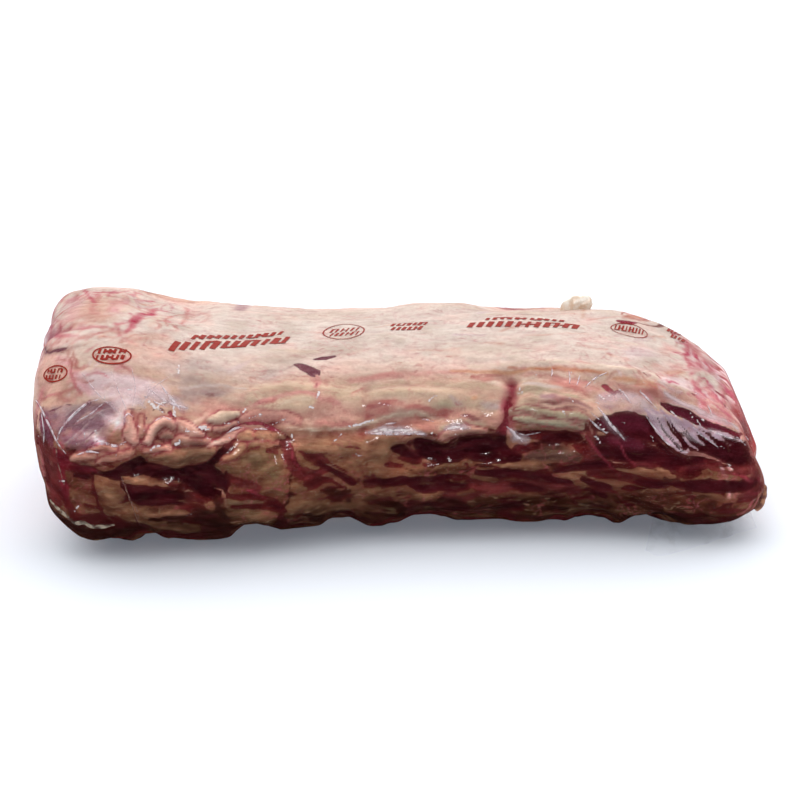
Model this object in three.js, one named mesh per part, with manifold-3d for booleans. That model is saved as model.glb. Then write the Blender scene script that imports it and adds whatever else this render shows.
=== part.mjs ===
// A boned beef rib roast, shrunk tight into a clear bag: one closed solid.
// Millimetres, +Z up. X runs along the roast, -Y is the lip side, z = 0 is what it rests on.
//
// The skin of the roast is a function of two lengths:
//   along  runs from the middle of the left cut face, over its rim, down the body, over the right
//          rim and in to the middle of the right cut face. On the body it equals x.
//   round  runs round the body, 0 at the middle of the front, rising over the top to the back.
import * as THREE from 'three';
import { mergeVertices } from 'three/addons/utils/BufferGeometryUtils.js';
import Module from 'manifold-3d';

const wasm = await Module();
wasm.setup();

// ---- Driving dimensions ----------------------------------------------------------------------
const LEFT_END = -208;
const RIGHT_END = 217;
const RIM_RADIUS = 24; // how the bag rounds a cut face into the body
const FACE_RADIUS = 70; // from the middle of a cut face out to the body
const SQUARENESS = 2.7; // exponent of the section: 2 is an ellipse, more is boxier
const MM_PER_DEGREE = 1.36; // length of round that one degree stands for
const MIDDLE_X = 3.4; // middle of the finished box, moved to the origin
const MIDDLE_Y = -10.4;

// The section changes along the body: its front, back, top and lowest reach and its axis height.
// A lowest reach below zero is pressed flat on the surface underneath.
const SECTIONS = [
  { x: -208, front: -100, back: 86, top: 120, axis: 56, low: -6 },
  { x: -164, front: -110, back: 88, top: 119, axis: 56, low: -8 },
  { x: -116, front: -104, back: 86, top: 110, axis: 53, low: -7 },
  { x: -60, front: -92, back: 86, top: 105, axis: 50, low: -5 },
  { x: 20, front: -80, back: 86, top: 105, axis: 50, low: -6 },
  { x: 110, front: -80, back: 84, top: 104, axis: 50, low: -6 },
  { x: 160, front: -84, back: 80, top: 98, axis: 46, low: -5 },
  { x: 217, front: -86, back: 72, top: 86, axis: 42, low: 0 },
];

// How the ends lean: the left face is dished a little, the right face slopes back from its toe.
const BOW_HEIGHT = 72;
const BOW_REACH = 62;
const BOW_ABOVE = 1;
const BOW_BELOW = 16;
const BOW_STARTS = -100;
const TOE_HEIGHT = 22;
const TOE_SLOPE = 0.47;
const UNDERCUT_HEIGHT = 40;
const UNDERCUT_REACH = 34;
const SLOPE_STARTS = 110;

// Steps of the skin's grid, in mm of along and of round.
const BODY_STEP = 6.2;
const RIM_STEP = 5.6;
const FACE_STEP = 9;
const ROUND_BANDS = [
  { from: -62, to: 74, step: 5.4 }, // the detailed front
  { from: 74, to: 300, step: 12.5 }, // the fat cap and the back
  { from: 300, to: 427.6, step: 17 }, // the underside
];
const ROUND_LENGTH = 360 * MM_PER_DEGREE;

// Swellings of fat and muscle, and lean that lies lower between the fat.
// along, round, half length, half width, height
const SWELLS = [
  [-76, -11, 34, 26, 5],
  [-168, 96, 40, 44, 3.5],
  [-192, -30, 24, 14, 5],
  [-178, 30, 24, 16, -1.5],
  [-60, 40, 34, 10, 2.6],
  [6, 36, 34, 8, 3],
  [86, 30, 26, 10, 3],
  [150, 54, 44, 11, 3],
  [176, -28, 44, 12, 2.6],
  [40, -22, 40, 9, 2.4],
  [-135, 3, 15, 7, -3.6],
  [-110, 0, 12, 13, -4.6],
  [-130, -13, 24, 6, -3],
  [-174, 0, 10, 6, -2],
  [10, 7, 18, 8, -4.4],
  [44, 9, 18, 8, -4.8],
  [82, 13, 22, 7, -3.8],
  [165, 15, 50, 17, -2.6],
  [-150, 230, 40, 26, 2.4],
  [-60, 262, 46, 18, 2.6],
  [40, 236, 44, 20, 2],
  [140, 258, 42, 20, 2.4],
  [-105, 270, 20, 12, -2.4],
  [-10, 214, 34, 8, -1.6],
  [92, 268, 26, 10, -2.6],
  [-136, 158, 26, 46, -5],
  [22, 178, 26, 26, 2.4],
  [78, 174, 28, 26, -3.2],
  [160, 164, 42, 34, 3.4],
  [-208, 165, 14, 34, 2.4],
  // The lobes and notches of the lower edge.
  [-112, -44, 20, 14, 2],
  [-152, -50, 12, 24, -4],
  [-84, -50, 12, 24, -5],
  [-34, -50, 11, 24, -4],
  [-14, -44, 8, 14, 2],
  [16, -50, 16, 24, -4],
  [74, -44, 14, 14, 2],
  [112, -50, 14, 24, -4],
  [154, -50, 20, 24, -6],
];

// Seams, folds and ledges: straight grooves from one place to the next.
// along, round, along, round, half width, height
const GROOVES = [
  [63, 20, 64, 46, 4, -3],
  [-40, 48, 60, 50, 6, -1.4],
  [60, 50, 140, 50, 6, -1.8],
  [-100, 20, -70, 25, 4, -2],
  [-70, 25, -60, 0, 4, -2.2],
  [-72, 19, -20, 20, 4, -1.8],
  [-20, 20, 25, 27, 4, -1.8],
  [-232, 92, -190, 84, 5, -2],
  [-20, 24, -19, 44, 4, -1.2],
  [-214, 18, -196, 46, 5, -1.6],
  [-100, 236, -20, 246, 6, -2],
  [-20, 246, 120, 242, 6, -2],
];

// The beaded fat of the lip: rounded lobules in one patch of the front.
const BEADS = { along: -127, round: 21, halfLength: 38, halfWidth: 15, size: 15, height: 4.6 };

// Slow unevenness of the whole body.
const UNEVENNESS = 0.9;

// On both cut faces the round eye of the rib stands a little proud inside a seam.
const EYE = { y: -4, z: 60, halfWidth: 52, halfHeight: 34, height: 2.2, seam: -1.6, seamWidth: 5 };

// The loose end of the bag lies flat on the surface in front of the right end.
const TAIL = { thickness: 1.3, ripple: 1.1, rootHeight: 6 };

// The pinched ear of the bag at the lower right corner, and the pucker on the top's back edge.
const EAR = { x: 203.5, y: -62, bottom: 13, top: 32, reach: 13, thickness: 2.6 };
const PUCKER = { from: 88, to: 116, y: 44, bottom: 96, rise: 13, thickness: 2.2 };

// Rounds past this one belong to the underside, and count as less than zero.
const UNDERSIDE_MIDDLE = 330;

const FILM_WRAPPED_MEAT = new THREE.MeshStandardMaterial({
  color: 0xb98579,
  roughness: 0.3,
  metalness: 0,
});

// ---- Small helpers ---------------------------------------------------------------------------
const clamp = THREE.MathUtils.clamp;

function ease(from, to, value) {
  const t = clamp((value - from) / (to - from), 0, 1);
  return t * t * (3 - 2 * t);
}

function bell(distance) {
  return Math.exp(-distance * distance);
}

// Distance from a point to a straight stretch.
function distanceToStretch(a, r, a0, r0, a1, r1) {
  const lengthSquared = (a1 - a0) ** 2 + (r1 - r0) ** 2;
  const t = clamp(((a - a0) * (a1 - a0) + (r - r0) * (r1 - r0)) / lengthSquared, 0, 1);
  return Math.hypot(a - a0 - t * (a1 - a0), r - r0 - t * (r1 - r0));
}

// A repeatable number from 0 to 1 for each whole-numbered cell.
function cellNumber(i, j, salt) {
  const wave = Math.sin(i * 127.1 + j * 311.7 + salt * 74.7) * 43758.5453;
  return wave - Math.floor(wave);
}

// A smooth curve through the sections' values, with slopes taken from the neighbours.
function sectionValue(name, x) {
  const last = SECTIONS.length - 1;
  const at = clamp(x, SECTIONS[0].x, SECTIONS[last].x);
  let i = 0;
  while (i < last - 1 && SECTIONS[i + 1].x < at) i += 1;
  const slope = (k) => {
    const before = SECTIONS[Math.max(k - 1, 0)];
    const here = SECTIONS[k];
    const after = SECTIONS[Math.min(k + 1, last)];
    if (before === here) return (after[name] - here[name]) / (after.x - here.x);
    if (after === here) return (here[name] - before[name]) / (here.x - before.x);
    const left = here.x - before.x;
    const right = after.x - here.x;
    const slopeLeft = (here[name] - before[name]) / left;
    const slopeRight = (after[name] - here[name]) / right;
    return (slopeLeft * right + slopeRight * left) / (left + right);
  };
  const h = SECTIONS[i + 1].x - SECTIONS[i].x;
  const t = (at - SECTIONS[i].x) / h;
  const from = (1 + 2 * t) * (1 - t) ** 2 * SECTIONS[i][name];
  const to = t * t * (3 - 2 * t) * SECTIONS[i + 1][name];
  const bend = t * (1 - t) ** 2 * h * slope(i) + t * t * (t - 1) * h * slope(i + 1);
  return from + to + bend;
}

// ---- The skin --------------------------------------------------------------------------------
const QUARTER_ARC = (RIM_RADIUS * Math.PI) / 2;
const LEFT_MIDDLE = LEFT_END + RIM_RADIUS - QUARTER_ARC - (FACE_RADIUS - RIM_RADIUS);
const RIGHT_MIDDLE = RIGHT_END - RIM_RADIUS + QUARTER_ARC + (FACE_RADIUS - RIM_RADIUS);

// Past the body's end the skin follows a quarter arc and then the flat cut face inwards.
function overRim(past) {
  const angle = clamp(past / RIM_RADIUS, 0, Math.PI / 2);
  const out = RIM_RADIUS * Math.sin(angle);
  const inwards = RIM_RADIUS * (1 - Math.cos(angle)) + Math.max(past - QUARTER_ARC, 0);
  return { out, share: 1 - inwards / FACE_RADIUS };
}

// x, and the share of the full section that the skin has there.
function profile(along) {
  const bodyFrom = LEFT_END + RIM_RADIUS;
  const bodyTo = RIGHT_END - RIM_RADIUS;
  const left = overRim(Math.max(bodyFrom - along, 0));
  const right = overRim(Math.max(along - bodyTo, 0));
  const x = clamp(along, bodyFrom, bodyTo) - left.out + right.out;
  return { x, share: clamp(Math.min(left.share, right.share), 0, 1) };
}

// The even form: a superellipse section carried along the body, with leaning ends.
function evenSkin(along, round) {
  const { x, share } = profile(along);
  const angle = THREE.MathUtils.degToRad(round / MM_PER_DEGREE);
  const front = sectionValue('front', x);
  const back = sectionValue('back', x);
  const axis = sectionValue('axis', x);
  const forward = -Math.cos(angle);
  const upward = Math.sin(angle);
  const halfWidth = (back - front) / 2;
  const reach = upward >= 0 ? sectionValue('top', x) - axis : axis - sectionValue('low', x);
  const flat = Math.abs(forward / halfWidth) ** SQUARENESS;
  const tall = Math.abs(upward / reach) ** SQUARENESS;
  const radius = share * (flat + tall) ** (-1 / SQUARENESS);
  const y = (front + back) / 2 + radius * forward;
  const z = axis + radius * upward;
  const bow = (z > BOW_HEIGHT ? BOW_ABOVE : BOW_BELOW) * ((z - BOW_HEIGHT) / BOW_REACH) ** 2;
  const slope = TOE_SLOPE * Math.max(z - TOE_HEIGHT, 0);
  const undercut = UNDERCUT_REACH * (Math.max(UNDERCUT_HEIGHT - z, 0) / UNDERCUT_HEIGHT) ** 2;
  const leftLean = ease(BOW_STARTS, LEFT_END, x) * bow;
  const rightLean = ease(SLOPE_STARTS, RIGHT_END, x) * (slope + undercut);
  return new THREE.Vector3(x + leftLean - rightLean, y, z);
}

function beads(along, round) {
  const u = (along - BEADS.along) / BEADS.halfLength;
  const v = (round - BEADS.round) / BEADS.halfWidth;
  const within = 1 - ease(0.75, 1.1, Math.hypot(u, v));
  if (within === 0) return 0;
  const column = Math.floor(along / BEADS.size);
  const row = Math.floor(round / BEADS.size);
  let nearest = 1;
  for (let i = column - 1; i <= column + 1; i += 1) {
    for (let j = row - 1; j <= row + 1; j += 1) {
      const a = (i + 0.2 + 0.6 * cellNumber(i, j, 1)) * BEADS.size;
      const r = (j + 0.2 + 0.6 * cellNumber(i, j, 2)) * BEADS.size;
      nearest = Math.min(nearest, Math.hypot(along - a, round - r) / BEADS.size);
    }
  }
  return within * BEADS.height * (1 - 1.9 * nearest * nearest);
}

function unevenness(along, round) {
  const turn = (2 * Math.PI * round) / ROUND_LENGTH;
  const long = Math.sin(along / 23 + 1.4 * Math.sin(3 * turn)) * Math.sin(4 * turn + along / 61);
  const short = Math.sin(along / 11 + 2 * Math.sin(5 * turn)) * Math.sin(9 * turn - along / 37);
  return UNEVENNESS * (long + 0.45 * short);
}

function cutFaceRelief(y, z) {
  const out = Math.hypot((y - EYE.y) / EYE.halfWidth, (z - EYE.z) / EYE.halfHeight);
  const seam = ((out - 1) * EYE.halfHeight) / EYE.seamWidth;
  return EYE.height * (1 - ease(0.7, 1, out)) + EYE.seam * bell(seam);
}

// Height of the skin over the even form.
function relief(along, round, even) {
  const wrapped = round > UNDERSIDE_MIDDLE ? round - ROUND_LENGTH : round;
  let height = unevenness(along, round) + beads(along, wrapped);
  for (const [a, r, halfLength, halfWidth, rise] of SWELLS) {
    const out = Math.hypot((along - a) / halfLength, (wrapped - r) / halfWidth);
    height += rise * (1 - ease(0.45, 1.25, out));
  }
  for (const [a0, r0, a1, r1, halfWidth, rise] of GROOVES) {
    height += rise * bell(distanceToStretch(along, wrapped, a0, r0, a1, r1) / halfWidth);
  }
  const { share } = profile(along);
  const onFace = 1 - ease(0.6, 0.85, share);
  return THREE.MathUtils.lerp(height, cutFaceRelief(even.y, even.z), onFace);
}

// The finished skin: the even form moved out along its own normal, and pressed flat at z = 0.
function skin(along, round) {
  const step = 0.5;
  const even = evenSkin(along, round);
  const lengthwise = evenSkin(along + step, round).sub(evenSkin(along - step, round));
  const crosswise = evenSkin(along, round + step).sub(evenSkin(along, round - step));
  const normal = crosswise.cross(lengthwise).negate().normalize();
  const point = even.clone().addScaledVector(normal, relief(along, round, even));
  point.z = Math.max(point.z, 0);
  return point;
}

// ---- Meshes ----------------------------------------------------------------------------------
function evenSteps(from, to, step) {
  const count = Math.max(1, Math.round((to - from) / step));
  return Array.from({ length: count }, (_, i) => from + ((to - from) * i) / count);
}

function geometryFrom(points, triangles) {
  const geometry = new THREE.BufferGeometry();
  geometry.setAttribute('position', new THREE.Float32BufferAttribute(points, 3));
  geometry.setIndex(triangles);
  return geometry;
}

// The body: rings of the skin from the left cut face to the right one, closed by a point each.
function roastGeometry() {
  const bodyFrom = LEFT_END + RIM_RADIUS;
  const bodyTo = RIGHT_END - RIM_RADIUS;
  const rows = [
    ...evenSteps(LEFT_MIDDLE + FACE_STEP, bodyFrom - QUARTER_ARC, FACE_STEP),
    ...evenSteps(bodyFrom - QUARTER_ARC, bodyFrom, RIM_STEP),
    ...evenSteps(bodyFrom, bodyTo, BODY_STEP),
    ...evenSteps(bodyTo, bodyTo + QUARTER_ARC, RIM_STEP),
    ...evenSteps(bodyTo + QUARTER_ARC, RIGHT_MIDDLE, FACE_STEP),
  ];
  const columns = ROUND_BANDS.flatMap((band) => evenSteps(band.from, band.to, band.step));
  const points = [];
  const triangles = [];
  for (const along of rows) {
    for (const round of columns) points.push(...skin(along, round).toArray());
  }
  const width = columns.length;
  const leftPoint = rows.length * width;
  const rightPoint = leftPoint + 1;
  points.push(...evenSkin(LEFT_MIDDLE, 0).toArray());
  points.push(...evenSkin(RIGHT_MIDDLE, 0).toArray());
  const lastRow = (rows.length - 1) * width;
  for (let j = 0; j < width; j += 1) {
    const k = (j + 1) % width;
    triangles.push(leftPoint, j, k);
    triangles.push(rightPoint, lastRow + k, lastRow + j);
    for (let i = 0; i < rows.length - 1; i += 1) {
      const here = i * width;
      const next = here + width;
      triangles.push(here + j, next + k, here + k);
      triangles.push(here + j, next + j, next + k);
    }
  }
  return geometryFrom(points, triangles);
}

// A thin sheet with thickness: two grids of pointAt(u, v), joined round their edges.
function sheetGeometry(pointAt, offset, stepsU, stepsV) {
  const points = [];
  const triangles = [];
  const width = stepsV + 1;
  const under = (stepsU + 1) * width;
  for (const side of [1, 0]) {
    for (let i = 0; i <= stepsU; i += 1) {
      for (let j = 0; j <= stepsV; j += 1) {
        const point = pointAt(i / stepsU, j / stepsV).addScaledVector(offset, side);
        points.push(...point.toArray());
      }
    }
  }
  const quad = (a, b, c, d) => triangles.push(a, b, c, a, c, d);
  for (let i = 0; i < stepsU; i += 1) {
    for (let j = 0; j < stepsV; j += 1) {
      const a = i * width + j;
      quad(a, a + width, a + width + 1, a + 1);
      quad(under + a, under + a + 1, under + a + width + 1, under + a + width);
    }
  }
  for (let i = 0; i < stepsU; i += 1) {
    const a = i * width;
    const b = a + stepsV;
    quad(a, under + a, under + a + width, a + width);
    quad(b, b + width, under + b + width, under + b);
  }
  for (let j = 0; j < stepsV; j += 1) {
    const b = stepsU * width + j;
    quad(j, j + 1, under + j + 1, under + j);
    quad(b, under + b, under + b + 1, b + 1);
  }
  return geometryFrom(points, triangles);
}

// The bag's tail: from under the belly it fans out to a cut edge in front.
function tailGeometry() {
  const root = new THREE.LineCurve3(new THREE.Vector3(150, -40, 0), new THREE.Vector3(206, -40, 0));
  const edge = new THREE.CatmullRomCurve3([
    new THREE.Vector3(140, -86, 0),
    new THREE.Vector3(148, -93, 0),
    new THREE.Vector3(172, -80, 0),
    new THREE.Vector3(190, -68, 0),
    new THREE.Vector3(208, -56, 0),
  ]);
  const pointAt = (u, v) => {
    const point = root.getPoint(u).lerp(edge.getPoint(u), v);
    const ripple = Math.sin(u * 17) * Math.sin(v * 5 + u * 4);
    point.z = TAIL.rootHeight * (1 - v) ** 2 + TAIL.ripple * v * ripple * ripple;
    return point;
  };
  return sheetGeometry(pointAt, new THREE.Vector3(0, 0, TAIL.thickness), 12, 5);
}

// A thin wavy fin that stands out of the end's toe.
function earGeometry() {
  const pointAt = (u, v) => {
    const out = EAR.reach * Math.sin(Math.PI * (0.15 + 0.75 * u));
    const wave = 4 * v + 1.5 * Math.sin(4 * u);
    return new THREE.Vector3(EAR.x + out * v, EAR.y + wave, THREE.MathUtils.lerp(EAR.bottom, EAR.top, u));
  };
  return sheetGeometry(pointAt, new THREE.Vector3(0.6, EAR.thickness, 0), 4, 2);
}

// A gathered tuft of the bag that stands up out of the fat cap.
function puckerGeometry() {
  const pointAt = (u, v) => {
    const x = THREE.MathUtils.lerp(PUCKER.from, PUCKER.to, u);
    const rise = PUCKER.rise * Math.sin(Math.PI * (0.1 + 0.8 * u)) ** 1.5;
    return new THREE.Vector3(x, PUCKER.y + 3 * Math.sin(5 * u) + 5 * v, PUCKER.bottom + rise * v);
  };
  return sheetGeometry(pointAt, new THREE.Vector3(0.4, PUCKER.thickness, -0.8), 5, 2);
}

// ---- Joining ---------------------------------------------------------------------------------
// A sheet's grid may run either way round, so a geometry that is inside out is turned.
function solidFrom(geometry) {
  const merged = mergeVertices(geometry, 1e-4);
  const vertProperties = new Float32Array(merged.attributes.position.array);
  const triVerts = new Uint32Array(merged.index.array);
  const solid = new wasm.Manifold(new wasm.Mesh({ numProp: 3, vertProperties, triVerts }));
  if (solid.volume() > 0) return solid;
  return new wasm.Manifold(
    new wasm.Mesh({ numProp: 3, vertProperties, triVerts: triVerts.toReversed() }),
  );
}

function geometryOf(solid) {
  const mesh = solid.getMesh();
  const geometry = geometryFrom(Array.from(mesh.vertProperties), Array.from(mesh.triVerts));
  geometry.computeVertexNormals();
  return geometry;
}

let whole = solidFrom(roastGeometry());
for (const flap of [tailGeometry(), earGeometry(), puckerGeometry()]) {
  whole = whole.add(solidFrom(flap));
}

const roast = new THREE.Mesh(geometryOf(whole), FILM_WRAPPED_MEAT);
roast.name = 'bagged_rib_roast';
roast.position.set(-MIDDLE_X, -MIDDLE_Y, 0);

const part = new THREE.Group();
part.add(roast);

export default part;
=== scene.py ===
"""The finish of a boned beef rib roast that is shrunk tight into a clear bag.

The roast's skin is a function of two lengths, both in millimetres:
  along  runs from the middle of the left cut face, over its rim, down the body, over the right
         rim and in to the middle of the right cut face; on the body it equals x;
  round  runs round the body, 0 at the middle of the front, rising over the top to the back.
Everything is drawn and built in these two lengths and carried onto the skin.
"""
import math

import bpy
import numpy as np
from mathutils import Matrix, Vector


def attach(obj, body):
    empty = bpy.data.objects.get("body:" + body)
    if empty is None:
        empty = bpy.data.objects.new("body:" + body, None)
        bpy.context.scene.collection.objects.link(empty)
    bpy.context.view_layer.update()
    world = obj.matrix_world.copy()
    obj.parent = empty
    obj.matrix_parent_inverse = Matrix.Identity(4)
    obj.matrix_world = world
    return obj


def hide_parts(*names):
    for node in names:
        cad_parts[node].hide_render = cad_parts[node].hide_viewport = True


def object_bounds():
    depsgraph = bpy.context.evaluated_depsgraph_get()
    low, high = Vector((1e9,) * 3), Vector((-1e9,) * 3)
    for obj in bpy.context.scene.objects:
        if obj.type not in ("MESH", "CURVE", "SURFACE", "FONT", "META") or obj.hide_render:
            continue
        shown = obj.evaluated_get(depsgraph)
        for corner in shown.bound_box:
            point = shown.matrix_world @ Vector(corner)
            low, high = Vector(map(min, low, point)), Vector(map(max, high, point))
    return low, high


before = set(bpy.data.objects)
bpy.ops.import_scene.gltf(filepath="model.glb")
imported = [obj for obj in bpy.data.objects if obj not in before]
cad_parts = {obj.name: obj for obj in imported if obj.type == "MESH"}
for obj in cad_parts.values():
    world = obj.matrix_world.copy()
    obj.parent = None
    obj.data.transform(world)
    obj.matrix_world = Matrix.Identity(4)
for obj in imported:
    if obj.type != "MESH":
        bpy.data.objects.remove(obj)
CAD_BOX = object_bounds()

MM = 0.001
BODY = "root"
SOLID = "bagged_rib_roast"

# ---- Driving dimensions, as in the solid ---------------------------------------------------------
LEFT_END, RIGHT_END = -208.0, 217.0
RIM_RADIUS = 24.0            # how the bag rounds a cut face into the body
FACE_RADIUS = 70.0           # from the middle of a cut face out to the body
SQUARENESS = 2.7             # exponent of the section: 2 is an ellipse, more is boxier
MM_PER_DEGREE = 1.36
ROUND_LENGTH = 360 * MM_PER_DEGREE
TOP_ROUND = 122.0            # round at the middle of the top
SEAM_ROUND = 330.0           # under the back, where round starts to be counted below 0 too
MIDDLE = np.array([3.4, -10.4, 0.0])     # what the frame has at its origin

# x, front, back, top, axis height, lowest reach
SECTIONS = np.array([
    (-208, -100, 86, 120, 56, -6),
    (-164, -110, 88, 119, 56, -8),
    (-116, -104, 86, 110, 53, -7),
    (-60, -92, 86, 105, 50, -5),
    (20, -80, 86, 105, 50, -6),
    (110, -80, 84, 104, 50, -6),
    (160, -84, 80, 98, 46, -5),
    (217, -86, 72, 86, 42, 0),
], float)
FRONT, BACK, TOP, AXIS, LOW = 1, 2, 3, 4, 5

# along, round, half length, half width, height
SWELLS = [
    (-76, -11, 34, 26, 5), (-168, 96, 40, 44, 3.5), (-192, -30, 24, 14, 5),
    (-178, 30, 24, 16, -1.5), (-60, 40, 34, 10, 2.6), (6, 36, 34, 8, 3),
    (86, 30, 26, 10, 3), (150, 54, 44, 11, 3), (176, -28, 44, 12, 2.6),
    (40, -22, 40, 9, 2.4), (-135, 3, 15, 7, -3.6), (-110, 0, 12, 13, -4.6),
    (-130, -13, 24, 6, -3), (-174, 0, 10, 6, -2), (10, 7, 18, 8, -4.4),
    (44, 9, 18, 8, -4.8), (82, 13, 22, 7, -3.8), (165, 15, 50, 17, -2.6),
    (-150, 230, 40, 26, 2.4), (-60, 262, 46, 18, 2.6), (40, 236, 44, 20, 2),
    (140, 258, 42, 20, 2.4), (-105, 270, 20, 12, -2.4), (-10, 214, 34, 8, -1.6),
    (92, 268, 26, 10, -2.6), (-136, 158, 26, 46, -5), (22, 178, 26, 26, 2.4),
    (78, 174, 28, 26, -3.2), (160, 164, 42, 34, 3.4), (-112, -44, 20, 14, 2),
    (-152, -50, 12, 24, -4), (-84, -50, 12, 24, -5), (-34, -50, 11, 24, -4), (-14, -44, 8, 14, 2),
    (16, -50, 16, 24, -4), (74, -44, 14, 14, 2), (112, -50, 14, 24, -4), (154, -50, 20, 24, -6),
    (-208, 165, 14, 34, 2.4),
]

# along, round, along, round, half width, height
GROOVES = [
    (63, 20, 64, 46, 4, -3), (-40, 48, 60, 50, 6, -1.4), (60, 50, 140, 50, 6, -1.8),
    (-100, 20, -70, 25, 4, -2), (-70, 25, -60, 0, 4, -2.2), (-72, 19, -20, 20, 4, -1.8),
    (-20, 20, 25, 27, 4, -1.8), (-232, 92, -190, 84, 5, -2), (-20, 24, -19, 44, 4, -1.2),
    (-214, 18, -196, 46, 5, -1.6), (-100, 236, -20, 246, 6, -2), (-20, 246, 120, 242, 6, -2),
]

BEADS = dict(along=-127, round=21, half_length=38, half_width=15, size=15, height=4.6)
UNEVENNESS = 0.9
EYE = dict(y=-4, z=60, half_width=52, half_height=34, height=2.2, seam=-1.6, seam_width=5)
DISH = dict(start=-100, z=72, half_height=62, above=1, below=16)         # of the left end
SLOPE = dict(start=110, per_mm=0.47, from_z=22, tuck=34, tuck_below=40)  # of the right end

BEAD_SHARE = 0.8             # the part of the solid's beads that the rolled lobules stand in for
INSET = 1.0                  # the meat lies this far inside the solid's skin
FILM_GAP = 0.25              # and the film this far outside the meat

# Steps of the fine grid: from, to, step.
BODY_FROM, BODY_TO = LEFT_END + RIM_RADIUS, RIGHT_END - RIM_RADIUS
QUARTER_ARC = RIM_RADIUS * math.pi / 2
LEFT_MIDDLE = BODY_FROM - QUARTER_ARC - (FACE_RADIUS - RIM_RADIUS)
RIGHT_MIDDLE = BODY_TO + QUARTER_ARC + (FACE_RADIUS - RIM_RADIUS)
ALONG_BANDS = [
    (LEFT_MIDDLE + 1.0, BODY_FROM - QUARTER_ARC, 2.5), (BODY_FROM - QUARTER_ARC, BODY_FROM, 1.8),
    (BODY_FROM, BODY_TO, 1.18), (BODY_TO, BODY_TO + QUARTER_ARC, 1.8),
    (BODY_TO + QUARTER_ARC, RIGHT_MIDDLE - 1.0, 2.5),
]
LOWEST_ROUND = -52.0         # of the grid, under the front
ROUND_BANDS = [
    (LOWEST_ROUND, 72, 0.94), (72, 190, 2.0), (190, SEAM_ROUND, 3.0),
    (SEAM_ROUND, ROUND_LENGTH + LOWEST_ROUND, 7.5),
]


# ---- How strokes are written down ----------------------------------------------------------------
def strokes(text):
    """Strokes parted by semicolons; their points, parted by commas, are along, round, half width."""
    return [[tuple(map(float, point.split())) for point in stroke.split(",")]
            for stroke in text.split(";")]


def drawn(text):
    """Rows of a drawing: a tint, numbers or both, a colon, and strokes. Indented lines carry a row
    on, and lines that start with # are notes."""
    rows = []
    for line in text.splitlines():
        if line.startswith("  "):
            rows[-1] += line
        elif line and not line.startswith("#"):
            rows.append(line)
    heads, bodies = zip(*(row.split(":") for row in rows))
    return [(*(word if word.isalpha() else float(word) for word in head.split()), *strokes(body))
            for head, body in zip(heads, bodies)]


# ---- Colours of the meat, as they look under soft light from overhead ----------------------------
# Seen colours by height round the section: 0 is the middle of the side, 122 the middle of the top.
SIDE_COLOURS = [
    (-122, (64, 38, 32)), (-62, (38, 20, 16)), (-42, (60, 36, 28)), (-30, (80, 50, 39)),
    (-20, (88, 56, 44)), (-10, (92, 58, 46)), (0, (98, 62, 49)), (10, (110, 71, 57)),
    (18, (134, 91, 76)), (24, (179, 135, 116)), (31, (202, 162, 141)), (42, (197, 160, 142)),
    (52, (214, 179, 160)), (57, (224, 194, 180)), (64, (228, 205, 193)), (80, (232, 213, 202)),
    (122, (236, 219, 208)),
]

TINTS = {
    "pit": (44, 14, 18), "lean": (56, 17, 22), "maroon": (76, 26, 27), "wine": (92, 40, 40),
    "blood": (104, 32, 42), "crimson": (148, 58, 72), "stain": (136, 62, 72), "plum": (112, 64, 76),
    "umber": (56, 28, 22), "rust": (88, 52, 40), "tan": (114, 82, 62), "moss": (96, 78, 58),
    "slate": (106, 84, 70), "straw": (137, 100, 79), "sand": (164, 118, 104), "clay": (192, 144, 130),
    "ash": (174, 150, 144), "mauve": (160, 122, 130), "bar": (184, 160, 140), "cream": (208, 182, 160),
    "ivory": (224, 200, 182), "petal": (228, 202, 202), "peach": (222, 176, 160),
    "blush": (210, 150, 142), "rose": (180, 116, 108), "magenta": (202, 116, 124),
    "amber": (204, 150, 120), "ember": (180, 94, 70), "dusk": (132, 88, 84), "lilac": (126, 88, 98),
    "shell": (226, 186, 174), "tallow": (168, 152, 128), "bark": (74, 51, 46), "soil": (70, 40, 33),
    "linen": (202, 172, 148), "pearl": (202, 181, 174), "frost": (220, 196, 196),
    "candy": (224, 168, 170), "brawn": (152, 106, 96), "beef": (150, 62, 62), "terra": (194, 138, 126),
    "garnet": (86, 32, 44), "fume": (176, 148, 160), "cerise": (186, 82, 102), "musk": (200, 140, 150),
    "suet": (188, 161, 139),
}

DARK_TINTS = {"garnet", "pit", "lean", "maroon", "wine", "blood", "crimson", "umber", "plum"}

# How far each tint stands above or below the fat around it, in mm.
TINT_RISE = {
    "pit": -1.6, "lean": -0.9, "garnet": -0.8, "maroon": -0.8, "blood": -0.6, "wine": -0.5,
    "umber": -0.5, "crimson": -0.4, "moss": 0.3, "tan": 0.4, "cream": 0.7, "straw": 0.7,
    "ivory": 0.8, "bar": 0.9,
}

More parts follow.
